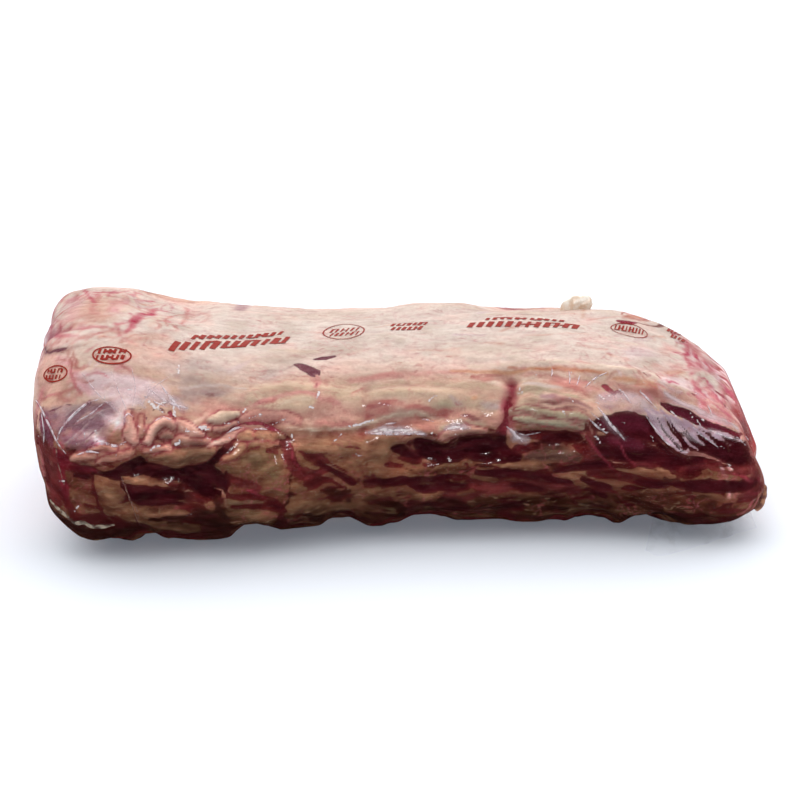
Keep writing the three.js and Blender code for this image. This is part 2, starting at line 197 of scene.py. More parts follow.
# Each row: tint, softness of the edge in mm, strength, then strokes.
# Film whitened with juice over the right end, its pale lilac painted as the reflection on it, torn into
# wedges by dark gaps.
# Painted highlight: a pale petal wash for glare on the film at the left.
# Painted highlight: pale petal glare on the film over the silverskin.
PAINT = drawn("""
# The left rim, stretched film over the edge of the cut face.
blush 4 0.7: -217 64 4, -208 52 5, -206 36 4
dusk 3 0.8: -219 52 3, -217 36 3, -215 20 3, -213 8 3
wine 2.5 0.6: -214 34 1.5, -209 32 1.2; -208 24 3, -207 12 3
peach 3 0.9: -200 60 7, -198 49 8, -193 41 5
dusk 2.5 0.8: -211 78 2.5, -204 69 3, -196 65 2.4, -186 64.5 1.6, -180 66 0.6
plum 1.5 0.85: -210 77 1, -202 66.5 0.8, -194 64.4 1.2, -187 64.6 0.6
blush 1.2 0.8: -212 84 2, -204 75 1.5, -192 71 1.4, -178 72 1
blush 0.9 0.7: -178 72 0.8, -168 79 0.8, -158 80 1, -152 84 1.4
rose 1 0.8: -184 66 0.7, -182 58 1, -179.4 50 1.1, -178 43 1.2, -173 38 0.8
rose 1 0.6: -187 52 0.5, -181 54 0.6; -180 46 0.5, -175 44.6 0.5; -192 37 1.2, -185 34.6 1, -178 38 0.8;
  -206 35 1, -198 34 0.8
blush 1 0.6: -190 44 1.5, -184 50 1; -157 50 1, -150 49 0.6; -163 62 1, -152 57 0.6
# Thin lean and silverskin under the film at the left.
lilac 2.5 0.95: -198 25 4, -196 15 4; -190 24 6, -178 24 8, -167 27 7, -159 30 4; -184 16 3, -172 15 4,
  -163 17 3
plum 1.5 0.75: -201 28 1.2, -198 20 2.2, -193 13 1.6; -187 21 1, -180 27 1.8, -171 33 1.4; -180 22 0.8,
  -172 25.4 1.2, -164 30 1
dusk 1.5 0.6: -182 14 1, -173 12.6 1.4, -165 13 1; -176 29 1, -168 33 1
stain 0.8 0.85: -208 33 0.6, -201 28 0.7, -194 21.6 0.7, -189 15.6 0.7, -183 9 0.8; -170 28 0.5,
  -166 30 1.2, -162.6 33.6 0.6; -187 22 0.4, -180 28.6 0.5, -171 34.6 0.5
ash 1.6 0.7: -177 18 0.8, -170 20 1.4, -160 21 1.6; -193 30 1, -186 30 1.2, -180 32 1
petal 3 0.85: -176 44 5, -164 43 7, -150 42 6
petal 2 0.7: -160 26 2.4, -153 26 3, -152 32 3; -147 36 2.4, -138 40 3, -130 42 2.4
petal 1 0.8: -168.6 18.4 0.6, -165.4 16.4 1.2, -162.6 16.6 0.6
plum 0.7 0.55: -150.4 28 0.3, -149.4 31.4 0.4, -146 32.8 0.5, -142 31.8 0.3; -140.8 30 0.4, -139.6 28 0.8;
  -132 32.4 0.8, -129.6 31 1; -130 35.4 0.9, -125.6 37.4 0.6; -136 32 0.4, -134.6 33.6 0.6
plum 0.5 0.55: -188 13 0.2, -180 18 0.5, -171 26 0.2; -184 12 0.2, -174 17 0.4, -163 24 0.2; -192 20 0.2,
  -184 28 0.5, -176 33 0.2; -178 12 0.2, -168 16 0.3, -160 20 0.2; -197 27 0.3, -190 31 0.5, -182 33 0.3
ash 0.5 0.7: -186 14 0.2, -177 20 0.5, -168 28 0.2; -182 13 0.2, -170 18 0.4, -160 25 0.2; -190 24 0.2,
  -182 30 0.4, -174 34 0.2; -175 24 0.2, -166 29 0.6, -158 31 0.3
# Blood-dark fold below it and the brown lower left corner.
wine 3 0.85: -202 12 3, -200 -4 4, -199 -16 3; -194 8 3, -192 -8 3
stain 1.5 0.6: -198 10 0.9, -196 0 1.2, -195 -8 1; -204 6 1, -202 -8 1
dusk 1.5 0.65: -194.4 8 0.7, -193.4 -1 1; -207 8 2, -205 -6 2; -199 16 0.6, -198.6 8 0.6
maroon 1.5 0.85: -198 -8 1.2, -193 -14 2.4, -187 -18 1.5; -201 -2 0.8, -199 -12 1
blood 1.2 0.95: -190 10 0.8, -186 7 2.4, -181 4.4 2, -175 3 1.2, -168 2 0.8
blood 1.6 0.8: -188 4 1.6, -188.6 -6 1.8, -191 -12 2
crimson 0.8 0.6: -185 8 0.4, -180 5 0.6, -172 4 0.5; -189 -1 0.5, -190.6 -9 0.7; -172 4.8 0.4, -170 3 0.8,
  -168.6 0.6 0.4
rust 2.4 0.9: -183 -3 3, -178 -8 4, -172 -11 3; -184 -16 1.5, -174 -18 1.6
dusk 1.4 0.5: -179 -3 0.8, -173 -5 1.2; -182 -10 0.6, -176 -12 0.8
straw 0.8 0.6: -184 -16.4 0.4, -177 -17.4 0.6, -169 -16.6 0.3; -181 -12.6 0.3, -174 -13.4 0.5
maroon 1.6 0.85: -188 -22 2, -178 -22 2, -166 -23.6 2.6, -158 -28 1.6; -179 -14.6 0.6, -171 -15 0.9
pit 1 0.85: -181 -0.6 0.8, -174 -1 0.9, -168 0.4 0.7
tan 2 0.95: -169 -4 1.6, -163 -9 5, -157 -15 4.4, -152.6 -21 2.4
rust 2.4 0.5: -168 -8 2, -162 -15 2.4, -157 -21 1.6
straw 1.2 0.6: -166 -6 1, -160 -11 1.8, -154.6 -17 1.4
maroon 0.8 0.8: -172 0 0.7, -172 -8 0.9, -171 -19 0.8; -164 -19 0.5, -159 -24 0.9, -156 -31 1.2;
  -152 -14 0.4, -150.6 -24 0.6, -151 -34 0.8
tan 1.6 0.95: -153 -12 1.2, -149 -17.4 2.6, -143 -21 4.6, -135 -25 4.6, -126 -28 4.4, -117 -31 3.4
straw 1 0.7: -150 -14.6 0.6, -145 -18 1.2, -136 -19.2 1.1, -124 -18.4 1, -115 -18.4 0.6; -141 -26 0.7,
  -131 -29 1.2, -121 -31.4 0.8
umber 3 0.85: -200 -26 4, -184 -29 4, -170 -32 4, -154 -36 3
# Dark lean between the fat, left of the big lobe.
pit 1 0.97: -166 0.8 0.6, -158 1 1.6, -152 2.6 2.4, -146 6 2.8, -142.6 8.6 1.6; -147 2.6 2, -139 3.6 3.2,
  -131 1.8 2.4, -122 1.2 2.4, -114 -1 5.5, -107 -3 8, -101 -4 4.5
pit 1.2 0.9: -108 4 3, -103 8 2, -98 12.5 1.8, -93 14.6 1.2
lean 1.2 0.97: -153 -3 1, -147 -8 4, -139 -9.6 5, -130 -10.6 4, -122 -12.4 2
wine 0.8 0.6: -149 -5 0.5, -141 -6.4 0.9, -132 -8 0.8; -146 3.6 0.4, -138 4.4 0.7, -130 3.4 0.4;
  -143 -12.6 0.4, -134 -13 0.6, -127 -12.6 0.4; -116 2.6 0.5, -110 0 0.7, -104 -1 0.4
straw 0.8 0.8: -153 1 0.4, -146 -1.2 0.8, -138 -2.6 0.9, -129 -3.6 0.8, -124 -6 0.6; -124 -12.6 0.4,
  -117 -14 0.9, -109 -14.4 0.8, -102 -12 0.6
moss 1 0.5: -152 4.4 0.5, -149 4 0.4; -119 -10 0.8, -113 -13 0.8
umber 1.2 0.8: -142 -21.6 0.5, -134 -21.6 0.8, -124 -21.8 1, -112 -23.5 1.3; -132 -24.4 0.4, -124 -25 0.6
umber 2.4 0.9: -112 -20 4, -106 -28 6, -104 -40 6
wine 1.2 0.6: -118 -20 1, -110 -22 1.4, -104 -20 1; -112 -30 1, -106 -33 1.2
# The beaded fat of the lip.
sand 1.6 0.7: -180 8 1.6, -168 10 2.2, -158 12.5 2.2, -150 15 2; -176 5 1, -164 6 1.2, -154 8 1.2
clay 1.8 0.75: -150 27 1.6, -148 20 3.4, -143 17 3; -138 19 1.6, -134 25 2, -128 27 2.2, -123 25 1.8;
  -119 21 3, -114 22 3; -144 27 2, -139 23 2.4
sand 1.4 0.45: -147 22 2, -144 18 1.5; -131 23 1.6, -126 23 1.2; -117 18 1.5, -111 19 1.2
straw 2 0.85: -136 10 2.6, -126 8 4.2, -114 9 4.4, -106 12 3.4
sand 1.2 0.7: -137 13 1, -130 14.6 1, -120 15.4 1, -110 16 1
crimson 0.7 0.8: -127 31 0.8, -124 27.5 0.9, -118 25.5 0.7, -112 23.6 0.9, -106 24 0.9, -99 24 0.7,
  -93 25 0.6
wine 0.8 0.6: -141 17.4 0.4, -133 20 0.7, -128 16.4 0.7, -121 16.6 0.7, -115 16.4 0.5; -124 20 0.6,
  -121 24 0.5; -111 22 0.6, -107 18 0.8, -103 16 0.7; -146 15 0.4, -139 16 0.4
crimson 0.8 0.7: -126.5 9.6 0.9, -124.8 9.2 0.6; -108 20 0.5, -104 18.5 0.5; -121 18.6 0.4, -116 20.5 0.4
rose 0.9 0.5: -104 17 0.5, -97 19.4 0.8, -90 23 0.6
clay 1.2 0.8: -103 16.6 1, -95 19.4 1.4, -88 22.4 1.6, -79 23 1.5, -70 22 1.5, -65 20 1
crimson 0.7 0.85: -92 24.6 0.4, -84 25.2 0.7, -76 25 0.9, -69 22.6 1.1, -65 19.6 1.1, -62.6 14 1
wine 1.2 0.85: -64 17 1.6, -62 10 2, -60 4 2, -55 1 1.6, -47 0 1.2
# The wide fat above it, its mauve skin and the folds of the cap's lower edge.
cream 5 0.5: -130 48 5, -112 50 6, -92 50 5
ash 2 0.75: -134 47.5 0.8, -126 46 1, -118 47.6 0.8; -119 43 2.6, -106 42.6 2.8, -94 44 1.6
mauve 1.2 0.6: -108 42 1, -103 41.6 0.8; -129 36.5 0.8, -125 37.6 0.8
peach 1.2 0.6: -123 44 0.5, -112 46.4 0.5, -98 47.6 0.6, -88 47 0.6, -80 44 0.6
blush 3 0.5: -112 35 5, -96 33 5; -90 38 2, -92 30 2
rose 1.6 0.4: -104 28 1.6, -97 30 1.6, -92 28 1.2; -90 34 0.5, -88 29 0.5
bar 1.6 0.8: -105 28 1.6, -97 30.4 2.6, -90 31 1.6
cream 2.4 0.85: -84 38 1.6, -72 36 3, -60 36.6 3.6, -50 36 2.4
blush 1.4 0.7: -88 33.6 0.7, -80 35 0.8, -72 38 0.9, -60 40.6 1, -50 39.6 1.2, -42 40 1.2
blush 1.2 0.6: -76 37 0.8, -68 38.6 0.7; -47 38 0.8, -38 36 1
blush 2.4 0.7: -48 52 2.6, -46 44 2; -43 36.5 1.4, -34 35 1
clay 3 0.5: -70 29 3, -48 28 3, -30 28 3
plum 0.9 0.85: -60 64.6 0.7, -56 63.4 2, -51 60 2.6, -48 57.6 3.2
stain 0.9 0.5: -59 64.2 0.6, -55 62.2 1.2, -52 60 1
plum 0.9 0.85: -48 69.4 0.6, -43 70.4 1.6, -38 72 0.9
ash 1 0.7: -76 58.6 0.4, -68 60 0.7, -61 63.6 0.5
# The big lobe of fat and its stains.
tan 3 0.95: -94 5 4, -84 8 7, -73 8 6; -94 -11 4, -86 -18 7, -78 -23 6; -72 -1 4, -67 -10 4, -62 -20 4
moss 4 0.6: -92 6 6, -82 9 6, -72 10 5; -92 -16 4, -84 -20 4
tan 3 0.7: -96 -18 2, -88 -21 4, -80 -23 3; -66 -6 3, -58 -16 4, -50 -22 4
rust 3 0.7: -92 -6 3, -80 -10 4, -68 -12 3; -66 -24 3, -60 -30 4
wine 2.2 0.7: -96 1 0.8, -90 -2 2, -84 -3.6 2, -79 -7 1.2; -84 13 1, -78 14 0.8
wine 1.4 0.7: -98 16 1, -94 15 1.4, -92 18 0.8; -73 13 1, -68 12 1
maroon 1 0.9: -97 -9.4 0.5, -88 -9.4 0.9, -80 -10.6 0.8, -72 -12.6 1.2, -67 -15.6 1.6
maroon 1 0.9: -93 -13.8 0.4, -84 -14.8 0.9, -76 -16 1.2, -69 -17 2.2, -65 -19 0.8
lean 0.8 0.9: -75 -14.6 0.5, -70 -16 1.2, -67 -17 0.6; -98 4 0.6, -96 -2 0.7, -98 -8 0.8
slate 0.8 0.8: -96 -11.6 0.4, -86 -12.2 0.7, -78 -13.6 0.6; -83 11 0.9, -78 10.6 0.9
moss 2.4 0.7: -79 8 2, -72 4 3.4, -66 1 2.2
straw 1.2 0.6: -90 -19.4 0.7, -82 -21.4 1.2, -74 -20.4 0.6; -93 8 0.6, -88 5 1; -76 6 0.6, -70 8 0.6
umber 1.4 0.8: -102 -12 1.2, -99 -20 1.4, -96 -28 1.6, -94 -36 2; -62 0 0.6, -61 -8 0.7, -64 -14 0.8;
  -56 -18 0.6, -51 -25 1.6, -48 -34 3, -44 -30 2
wine 1.4 0.6: -68 -20 1, -66 -28 1.4, -66 -38 2; -76 -26 0.6, -75 -36 1
# Right of the lobe: streaked brown fat with blood.
tan 3 0.85: -54 9 4, -40 12 5, -26 9 6, -13 9 6, -6 15 4; -58 -12 4, -46 -20 6; -32 -23 5, -19 -16 6,
  -6 -15 4; -26 0 3, -14 0 3
straw 4 0.5: -40 13 3, -26 8 4, -14 8 5, -8 15 4; -12 2 2, -4 0 1
wine 1.6 0.9: -65 17 1.2, -62 10 2.2, -58 4.6 1.9, -51 1.6 1.5, -43 1.2 0.8
straw 2 0.6: -56 14 1.6, -48 11 2
wine 1 0.7: -57 12.6 0.4, -51 9.4 0.8, -44 8 1.4, -40 6 0.8; -49 13 0.5, -42 11.4 1.1, -38 9 0.5;
  -30 13.4 0.4, -24 12.8 0.9, -20 12 0.4; -36 9 0.4, -31 7 0.6
maroon 1 0.8: -61 8 0.8, -56 4 1, -48 1.4 0.7; -50 8.6 0.4, -45 7.4 0.8
tan 1 0.8: -59 13 0.6, -53 12.4 0.7, -46 10.6 0.5; -57 8.6 0.5, -51 5 1, -45 3.4 0.7; -60 -4 2, -54 -8 3,
  -47 -11 2
lean 0.8 0.95: -45 5.6 0.4, -39 2 1, -34 -1.6 1.3, -28 -6 1.1, -25 -7 0.4
maroon 0.8 0.85: -48 -0.6 0.5, -42 -3 0.8, -35 -7.4 0.8, -30 -9.6 0.4; -40 6 0.3, -32 1 0.5, -27 -3 0.3;
  -44 -8.6 0.4, -38 -9 0.6, -30 -9.4 0.4
sand 0.6 0.7: -43 5.8 0.3, -37 2.6 0.4, -31 -1.6 0.3; -44 -1 0.3, -38 -4.4 0.4, -33 -8 0.3
rust 0.7 0.6: -27 10 0.3, -23 5 0.4, -21 -3 0.3; -23 11 0.3, -19.6 5 0.4, -18.6 -1 0.3; -33 7 0.3,
  -27 2 0.4, -24 -5 0.3
umber 1.2 0.9: -41 -9.6 0.7, -38 -12.4 1.5, -33 -13.4 1.8, -28 -11.4 0.9; -37 -15 0.6, -34 -18 1;
  -29.4 -17 1, -28 -21 0.9
tan 2.4 0.75: -50 -16 3, -42 -22 4; -30 -24 3, -20 -15 4, -6 -14 3; 4 -18 3, 14 -19 2
moss 1.4 0.75: -11 -24 1.4, -5 -27 2, -3.4 -32 2, -8 -35 1.4
umber 1 0.9: -13.6 -21.6 0.6, -7 -22.2 1.3, -1.6 -24.6 1.3, 1.6 -30 1.8, 0 -38 2; -18 -27.4 0.8,
  -12 -30.4 1.7, -5 -33.4 1.5; -10 -26.4 0.5, -5.4 -28.6 0.8; -22 -34 1, -12 -37 2
# The pressed muscle in the middle, above the long ledge.
cream 3 0.7: -38 48 4, -26 43 5, -30 38 3; -14 42 4, 0 42 5, 16 41 5; 34 46 3, 24 38 3
clay 1 0.7: -20 46 0.5, -20.4 36 0.6, -20 27 0.7
blush 1.4 0.7: -26 41 1.6, -22 44 1.4, -20 47 0.7; 3 48 0.6, 5 52 0.6
rose 2 0.9: -17 32 3, -11 33 3, -4 33 1.8, 2 33.6 0.8; -17 27.6 1.8, -10 28.6 1.8, -2 30 1.2
rose 1.8 0.7: 2 30.6 2, 14 31 2, 26 30 1.6; -46 26 1.4, -26 25.6 1.4
rose 1 0.6: 22 30 1, 25 31 1.2, 29 30 0.8; 30 28.4 1, 40 26.6 1.2
dusk 1.1 0.7: 34 28 0.6, 40 26.4 1.1, 45 25 0.6
ash 2 0.55: 30 36 1.6, 34 33 1.2; 46 33 2, 54 34 2
amber 1.6 0.4: 38 37 1, 43 37 1
bar 0.8 0.9: -52 22.6 0.6, -36 22.8 0.6, -24 23.4 0.8, -12 25.8 0.8, 2 27.6 0.8, 16 28 0.9, 26 27 0.7
rose 2 0.6: -10 22.6 1.6, 2 23.6 2, 12 22.8 2, 22 21.6 1.6
sand 2.4 0.85: 24 17 2, 30 19 3.6, 38 20 3, 48 18.6 2
clay 1.2 0.6: 34 27 0.6, 46 23.6 0.9, 54 20.4 0.7; 22 25 0.7, 27 26 0.7
# Dark lean right of the middle.
lean 1 0.97: -4 10 0.8, 1 8 2.4, 5 5.6 2, 10 4.4 1.8; 10.6 12.4 2.6, 16 9 5.6, 24 6.4 5.2, 34 7 5.4,
  44 8.4 6.6, 54 7 5.6, 60 5 3.6, 66 4 2
pit 1.6 0.6: 14 6 2, 28 4 2, 44 6 2.4, 54 6 2
bark 1 0.8: 20 13.6 0.8, 25 11 1.2, 29 12 1.2, 32 14 0.7
wine 0.9 0.6: 5 12.6 0.8, 6.6 8.6 0.9, 10 4.6 0.7; 18 9 0.4, 27 7.6 0.6, 36 9 0.4
dusk 0.8 0.8: 11 17 0.6, 16 17.6 0.9, 19.6 16 0.9
lean 1.4 0.95: 57.6 20 1.6, 57.4 8 2.2, 58 1 1.8
maroon 1.4 0.95: 66 17 1, 74 16 2.4, 86 15 3.2, 97 14.4 3.4, 103 9 3.4
lean 1.2 0.8: 82 14 1.4, 94 14 1.6; 76 10.4 0.7, 90 10.8 0.9; 66 9 1.6, 71 8 1.4
# The blood line that runs down the side, and the pale slab right of it.
stain 3 0.85: 63.6 50 1.2, 63 43 3, 61.4 35 4, 60 27 4, 58.6 20 3
blood 2.4 0.6: 62 38 1.2, 61 32 1.8, 60 26 2.2, 58.6 20 2.4
blush 1.4 0.6: 64.6 54 0.8, 64.4 50 1
cream 3 0.8: 70 47 2, 80 44 3.4, 92 43 3, 102 41 2
tallow 2 0.8: 69 41 2, 78 40 2; 68 34 1.6, 76 34.6 1.6
mauve 1.6 0.7: 80 37.4 1, 88 37 1.6, 98 34 1.4, 106 32 0.8
tallow 1.2 0.95: 66 28.4 4, 78 27.4 4.4, 92 25.8 4, 103 24 2.8
cream 0.8 0.6: 66 30 0.6, 80 29.4 0.8, 94 28 0.6; 67 25 0.6, 80 24.4 0.8, 96 22.6 0.5
bark 0.6 0.6: 68 27.4 0.3, 82 26.8 0.4, 98 25 0.4; 84 22.4 0.3, 94 21.8 0.4, 102 21 0.4; 66 23 0.3,
  74 22.6 0.3
dusk 0.8 0.9: 79 34.4 0.5, 86 34.2 1.1, 91 34.6 0.5; 88 31.8 0.4, 96 30.8 1, 104 29.6 0.6
bark 1.4 0.95: 71 4 1.4, 78 5 3, 86 5.4 3.8, 94 5.4 4.2, 100 5 2.8
slate 1.4 0.5: 78 6.4 0.8, 86 7.4 1.2, 95 7 1.2; 84 3 0.6, 92 3.4 0.8
# Fat and blood between the slab and the large lean.
wine 1.8 0.85: 106 24 1.6, 108 17 2.6, 110 10 3, 107 4 2.6
dusk 1 0.7: 105 25 0.6, 108 18.6 0.8, 110 11 0.8, 114 6 0.7, 122 2.6 0.6
lean 2 0.97: 112 24 3, 124 25 5, 136 26 5, 150 23 5; 116 12 6, 130 13 9, 146 12 9, 160 9 6; 170 8 6,
  186 16 9, 204 16 8, 218 14 8; 222 16 7, 236 14 7
pit 4 0.6: 126 8 4, 142 8 5; 196 14 5, 206 13 5; 112 13 2, 114 6 2
maroon 1.2 0.7: 128 27 0.6, 138 26 1.2, 148 22 0.8; 136 17 1, 146 16 1.4, 154 13 1; 184 8 1, 198 9 1.4,
  214 8 1; 196 22 0.8, 210 20 1
dusk 2 0.6: 164 14 1.2, 174 14 2.4, 184 14 1.4; 143 16 0.8, 148 16.4 0.8
wine 1.4 0.7: 166 4 0.8, 178 6 1.2, 190 4.6 1.2, 202 3.6 1; 128 4 0.6, 140 4 0.9, 150 3.4 0.6
# The long dark band under the cap's end, and the cap's end itself.
garnet 0.8 1.1: 162 40 0.6, 168 38.8 1.8, 178 37 2.4, 190 34 2, 202 30.8 1.4, 214 27 1
lean 0.8 0.6: 170 39.4 0.6, 182 37 1, 196 33 0.8
blood 0.8 0.7: 206 29 0.8, 216 28 1.2, 228 28.6 1.2, 240 28 1
rose 2 0.85: 130 47 2.2, 144 45.6 2, 156 45 2.6, 166 42 1.6
ember 1.4 0.6: 140 50 0.8, 150 49.6 1.6, 158 48 1
amber 1.4 0.75: 122 52.4 0.8, 134 53 1.6, 148 52 1.6, 158 51 1.2
rose 1.6 0.5: 172 49 1.6, 182 47 2.4, 192 46.6 1.6
shell 3 0.8: 115 38 3.4, 128 39 4, 138 40 4
petal 2 0.7: 122 42 1.4, 134 43 2, 144 40 1.4; 168 56 3, 178 60 5, 190 60 6
mauve 1.6 0.6: 112 33 1, 122 33.6 1.4, 140 33 1.4, 152 37 2
clay 2 0.8: 168 44 1.6, 180 42.4 1.6, 194 38.8 1.6, 208 34 1.4
musk 1.2 0.9: 160 49 0.8, 166 44 1.2, 178 41.6 1.2, 194 37.6 1.2, 208 33 1
petal 1 0.7: 170 41.6 0.5, 184 40.2 0.8, 198 36.6 0.8, 210 32 0.6; 196 43 0.6, 208 39 1, 218 35 0.7
crimson 1.2 0.75: 116 47.4 1, 119 45.4 1.6, 122 43 0.8; 125 46 0.8, 129 42 1, 133 37.6 0.6
blush 2.4 0.7: 86 50 2, 98 47.6 3, 110 46 3; 120 49 2, 128 48.6 2
rose 1 0.6: 92 46 0.6, 100 43 0.8, 110 42 0.8; 104 48 0.6, 112 45 0.6; 84 52 1, 92 50 0.6; 108 50.4 0.6,
  113 49.4 0.6
ivory 1.2 0.7: 92 52.6 0.6, 98 52.4 0.9; 103 44 0.7, 110 50 1, 118 54 0.7; 76 50 0.8, 82 49 0.6
magenta 0.9 0.6: 158 51.6 0.6, 165 50 0.9, 170 48 0.6; 171 57 0.8, 174 56 0.8; 152 50 0.6, 157 47 0.6;
  178 66 0.6, 184 70 0.8, 190 76 0.6
magenta 2 0.6: 196 66 2, 198 54 2.6, 197 45 2; 176 51 0.8, 172 47 1; 200 108 2, 201 90 2.4, 198 78 1.6
magenta 3 0.8: 207 70 2, 209 60 4, 212 48 4, 216 40 3; 224 42 4, 236 38 5
cerise 1.2 0.9: 188 50 0.5, 194 49 1, 197 46 0.8, 203 47 0.5; 196 62 0.6, 200 57 1, 203 52 0.6; 206 78 1,
  209 72 1.4, 211 66 1; 205 48 0.6, 211 42 1, 219 37 0.8; 172 55 0.4, 177 58 0.7, 182 57 0.4
crimson 1.4 0.85: 213 66 1.6, 217 64 2.4, 221 60 2.4, 227 52 2; 213 52 0.8, 218 46 1
petal 1.2 0.7: 202 64 1, 204 54 1.2, 207 50 0.8; 216 47 1, 222 51 1; 209 76 0.8, 210 68 0.8
rose 2 0.7: 200 42 1.4, 208 40 2, 216 36 2
# Broad washes over the pale side.
linen 4 0.75: -74 45 4, -52 45 5, -34 47 3; -76 33 2, -62 34 3, -52 36 2; -88 34 2, -81 35 2
suet 3.4 0.85: -34 44 3, -10 43 5, 12 43 5, 34 43 4, 48 45 3; -84 47 2, -74 47 3.4, -58 46 3.4
tallow 2.4 0.75: 20 33 2, 34 34.6 3, 50 33 2.4; 24 22 1.6, 34 22.6 3, 46 22 1.6
brawn 2 0.7: 46 27 1, 54 24 2; 14 22.6 1.2, 20 22.6 1.8
clay 2.4 0.7: -50 31 2, -34 31 2.4, -22 31 2; -106 33 2, -96 33 2.4
ash 3.5 0.7: -124 38 2.4, -112 38 3; -128 51 2.4, -116 50 3, -104 47 2.4
pearl 5 0.75: -132 58 5, -110 60 6, -86 53 4, -68 57 4; -72 68 3, -58 70 3
petal 2.6 1: -170 39 2, -158 42 4.6, -146 44 4.6, -134 42 3.4; -156 34 2, -148 36 2
candy 2 0.75: -184 50 2, -178 45 2.4, -172 39 1.4; -160 53 1, -150 51 1.4; -192 58 2.4, -185 55 2.4
terra 2.6 0.75: 84 47 1.6, 94 45 2.4, 104 42 2.6; 60 46 0.8, 56 48 1; -46 35 1.6, -40 36 1.4
terra 1.6 0.7: 128 47 1.6, 138 45 1.6; 160 45 1.6, 168 44.6 1.8, 178 46 1.4
brawn 2 0.6: 88 36 1.4, 98 34 1.8; 72 35 1, 78 33.6 1
candy 2 0.6: 114 41 2, 122 40 2; 146 43 1.6, 154 41 1.2
# Crisp edges of the fat in the pale side.
linen 0.8 0.9: -80 31.6 0.6, -70 34.6 2.2, -58 36.4 3.2, -50 36.4 2.2, -46.6 36.6 0.6; -36 38 1,
  -28 38.4 1.4, -22.6 38 0.8
suet 0.8 0.9: -42 41 1, -34 43 4.4, -27 46 3.2, -24 49 0.8
cream 0.9 0.8: -66 35.6 0.8, -58 37.8 1.4, -51 37.6 1
suet 0.9 0.8: -17 44 3.6, -6 44 5, 2 45 4; 9 42 2, 16 44 5, 24 44 4; 44 43 1.4, 50 44.6 2, 57 44 1;
  -38 44 0.8, -31 46 1.4
blush 0.7 0.9: -92 33 0.4, -82 34 0.7, -77 36 1.1, -70 39.4 0.9, -60 41.6 0.8, -50 41 0.9, -45 38.6 0.9,
  -38 35.6 1.3, -34 34.8 0.6; -20 52.6 0.6, -10 53.4 1.5, 0 52.6 1.4, 3 51.6 0.6; -47 56 0.6, -45 52 1.6,
  -47 46 1.4
rose 0.5 0.85: -76 35.6 0.4, -72.6 37 0.8, -69 38.4 0.4; -44 38 0.4, -41 36.4 0.8, -37.6 35.4 0.4;
  -48 51.6 0.4, -46.6 48.6 0.8, -47.4 45 0.4; -20.6 47 0.3, -22.6 44 0.8, -26.4 42 0.4; -88.6 33.4 0.3,
  -87 30.6 0.7, -87.6 28 0.3; 4.6 50 0.2, 5.6 46 0.4, 5 41 0.2; -16 53.4 0.4, -6 53.8 0.7, 0 53 0.4;
  41 52 0.6, 44 50 1.2, 48 49 0.9; 46 54 0.4, 52 53 0.8, 58 53.4 0.5
rose 0.6 1: -19 28 1, -17.6 32 1.6, -15 34.6 1.4, -6 34.4 1.4, -1 35 0.6; -18.6 29 1.2, -12 30 1.6,
  -6 31 1; 4 31.6 0.6, 10 31 1, 18 31.4 1, 22 30.6 0.5; 22 29 0.4, 23.6 31.4 0.6, 26 30.4 0.6,
  25 28.4 0.5, 22.6 28.6 0.4
stain 0.5 0.6: -18.8 33.4 0.3, -13 33 0.8, -6 33.6 0.3; -19.4 27 0.3, -17 28.4 0.7, -14 28.8 0.3;
  43 50.6 0.3, 45 49.6 0.6; -46.8 49.4 0.2, -46.4 47.6 0.4
ash 1 0.85: 29 37.4 0.7, 31 35.4 1.5, 33.6 33.6 0.8; 46 34 1, 50 33 2.2, 54 32 1.4; -110 42 0.8,
  -105 41.4 1.2, -100 42 0.6
amber 0.8 0.8: 40 37 0.6, 41.6 36.8 1
rose 1.6 0.6: 82 47.6 1.4, 92 45.4 2.2, 104 42.4 2; 168 52 0.8, 175 50.4 1.8, 185 49 1
rose 0.7 0.8: 125 44.6 0.4, 129.6 40.6 1, 134 37 0.4; 86 49 0.3, 95 46 0.6, 104 44 0.3
dusk 1 0.6: 90 36 0.6, 99 34.4 1.6, 107 31.6 0.6
tallow 0.6 0.8: 84 40.6 0.5, 96 38.4 1, 106 35.6 0.5; 72 43 0.5, 84 42 0.9
dusk 0.6 0.95: 34 28.6 0.4, 37.6 27.6 1, 41 26.4 1.3, 44 25.4 0.5; -107 41.2 0.3, -104 41.2 0.7
cream 0.5 1: -62 23 0.4, -50 22.8 0.5, -36 23 0.5, -20 24.4 0.6, -8 26.6 0.6, 2 28.2 0.7, 12 28.8 0.6,
  19 27.2 0.5, 25 25 0.3
pearl 0.8 0.9: -122 44.6 0.5, -110 46.6 0.8, -98 47 0.8, -86 44.6 0.5; 70 46 0.6, 80 44.6 1.2, 92 42.6 0.8
rose 0.7 0.9: -187 65 0.4, -184.6 57 0.9, -182 49 1, -179.6 42 0.9, -176 37 0.5; -183 54 0.3, -178 51 0.6,
  -173 52 0.2; -181 46 0.3, -175 44 0.6, -170 45 0.2; -192 58 0.3, -187 57 0.5; -170 60 0.3, -163 56 0.4,
  -155 53 0.7, -149 50 0.4; -180 41 0.4, -186 38 0.8, -194 36 0.8, -202 35 0.4
magenta 0.6 0.8: -182.6 51 0.3, -180.6 45 0.7, -178.6 40 0.4; -190 37.4 0.3, -198 36 0.6; -174 47 0.2,
  -168 48 0.5, -163 46 0.2
# Film whitened with juice over the right end, torn into wedges by dark gaps.
lean 1.2 0.95: 146 27 3, 160 25 6, 180 24 7, 200 22 6, 214 20 4
fume 0.7 1.2: 145 35 1, 151 30 2.4, 157 23.6 2.4, 163 18 1.8, 171 14.4 1.2; 152 34.4 1.4, 158 30.6 2.8,
  163.4 25 2.2, 169 19 1; 160 35 1.2, 166 31.6 2.4, 172 26 2.8, 178 19.6 1.4, 181 16.6 0.4; 167 34.4 1,
  174 31 2.3, 181 26.4 2.4, 186.4 20.6 1; 177 33.4 1, 184 29.8 2, 191 25.2 1.9, 196 20.4 0.5;
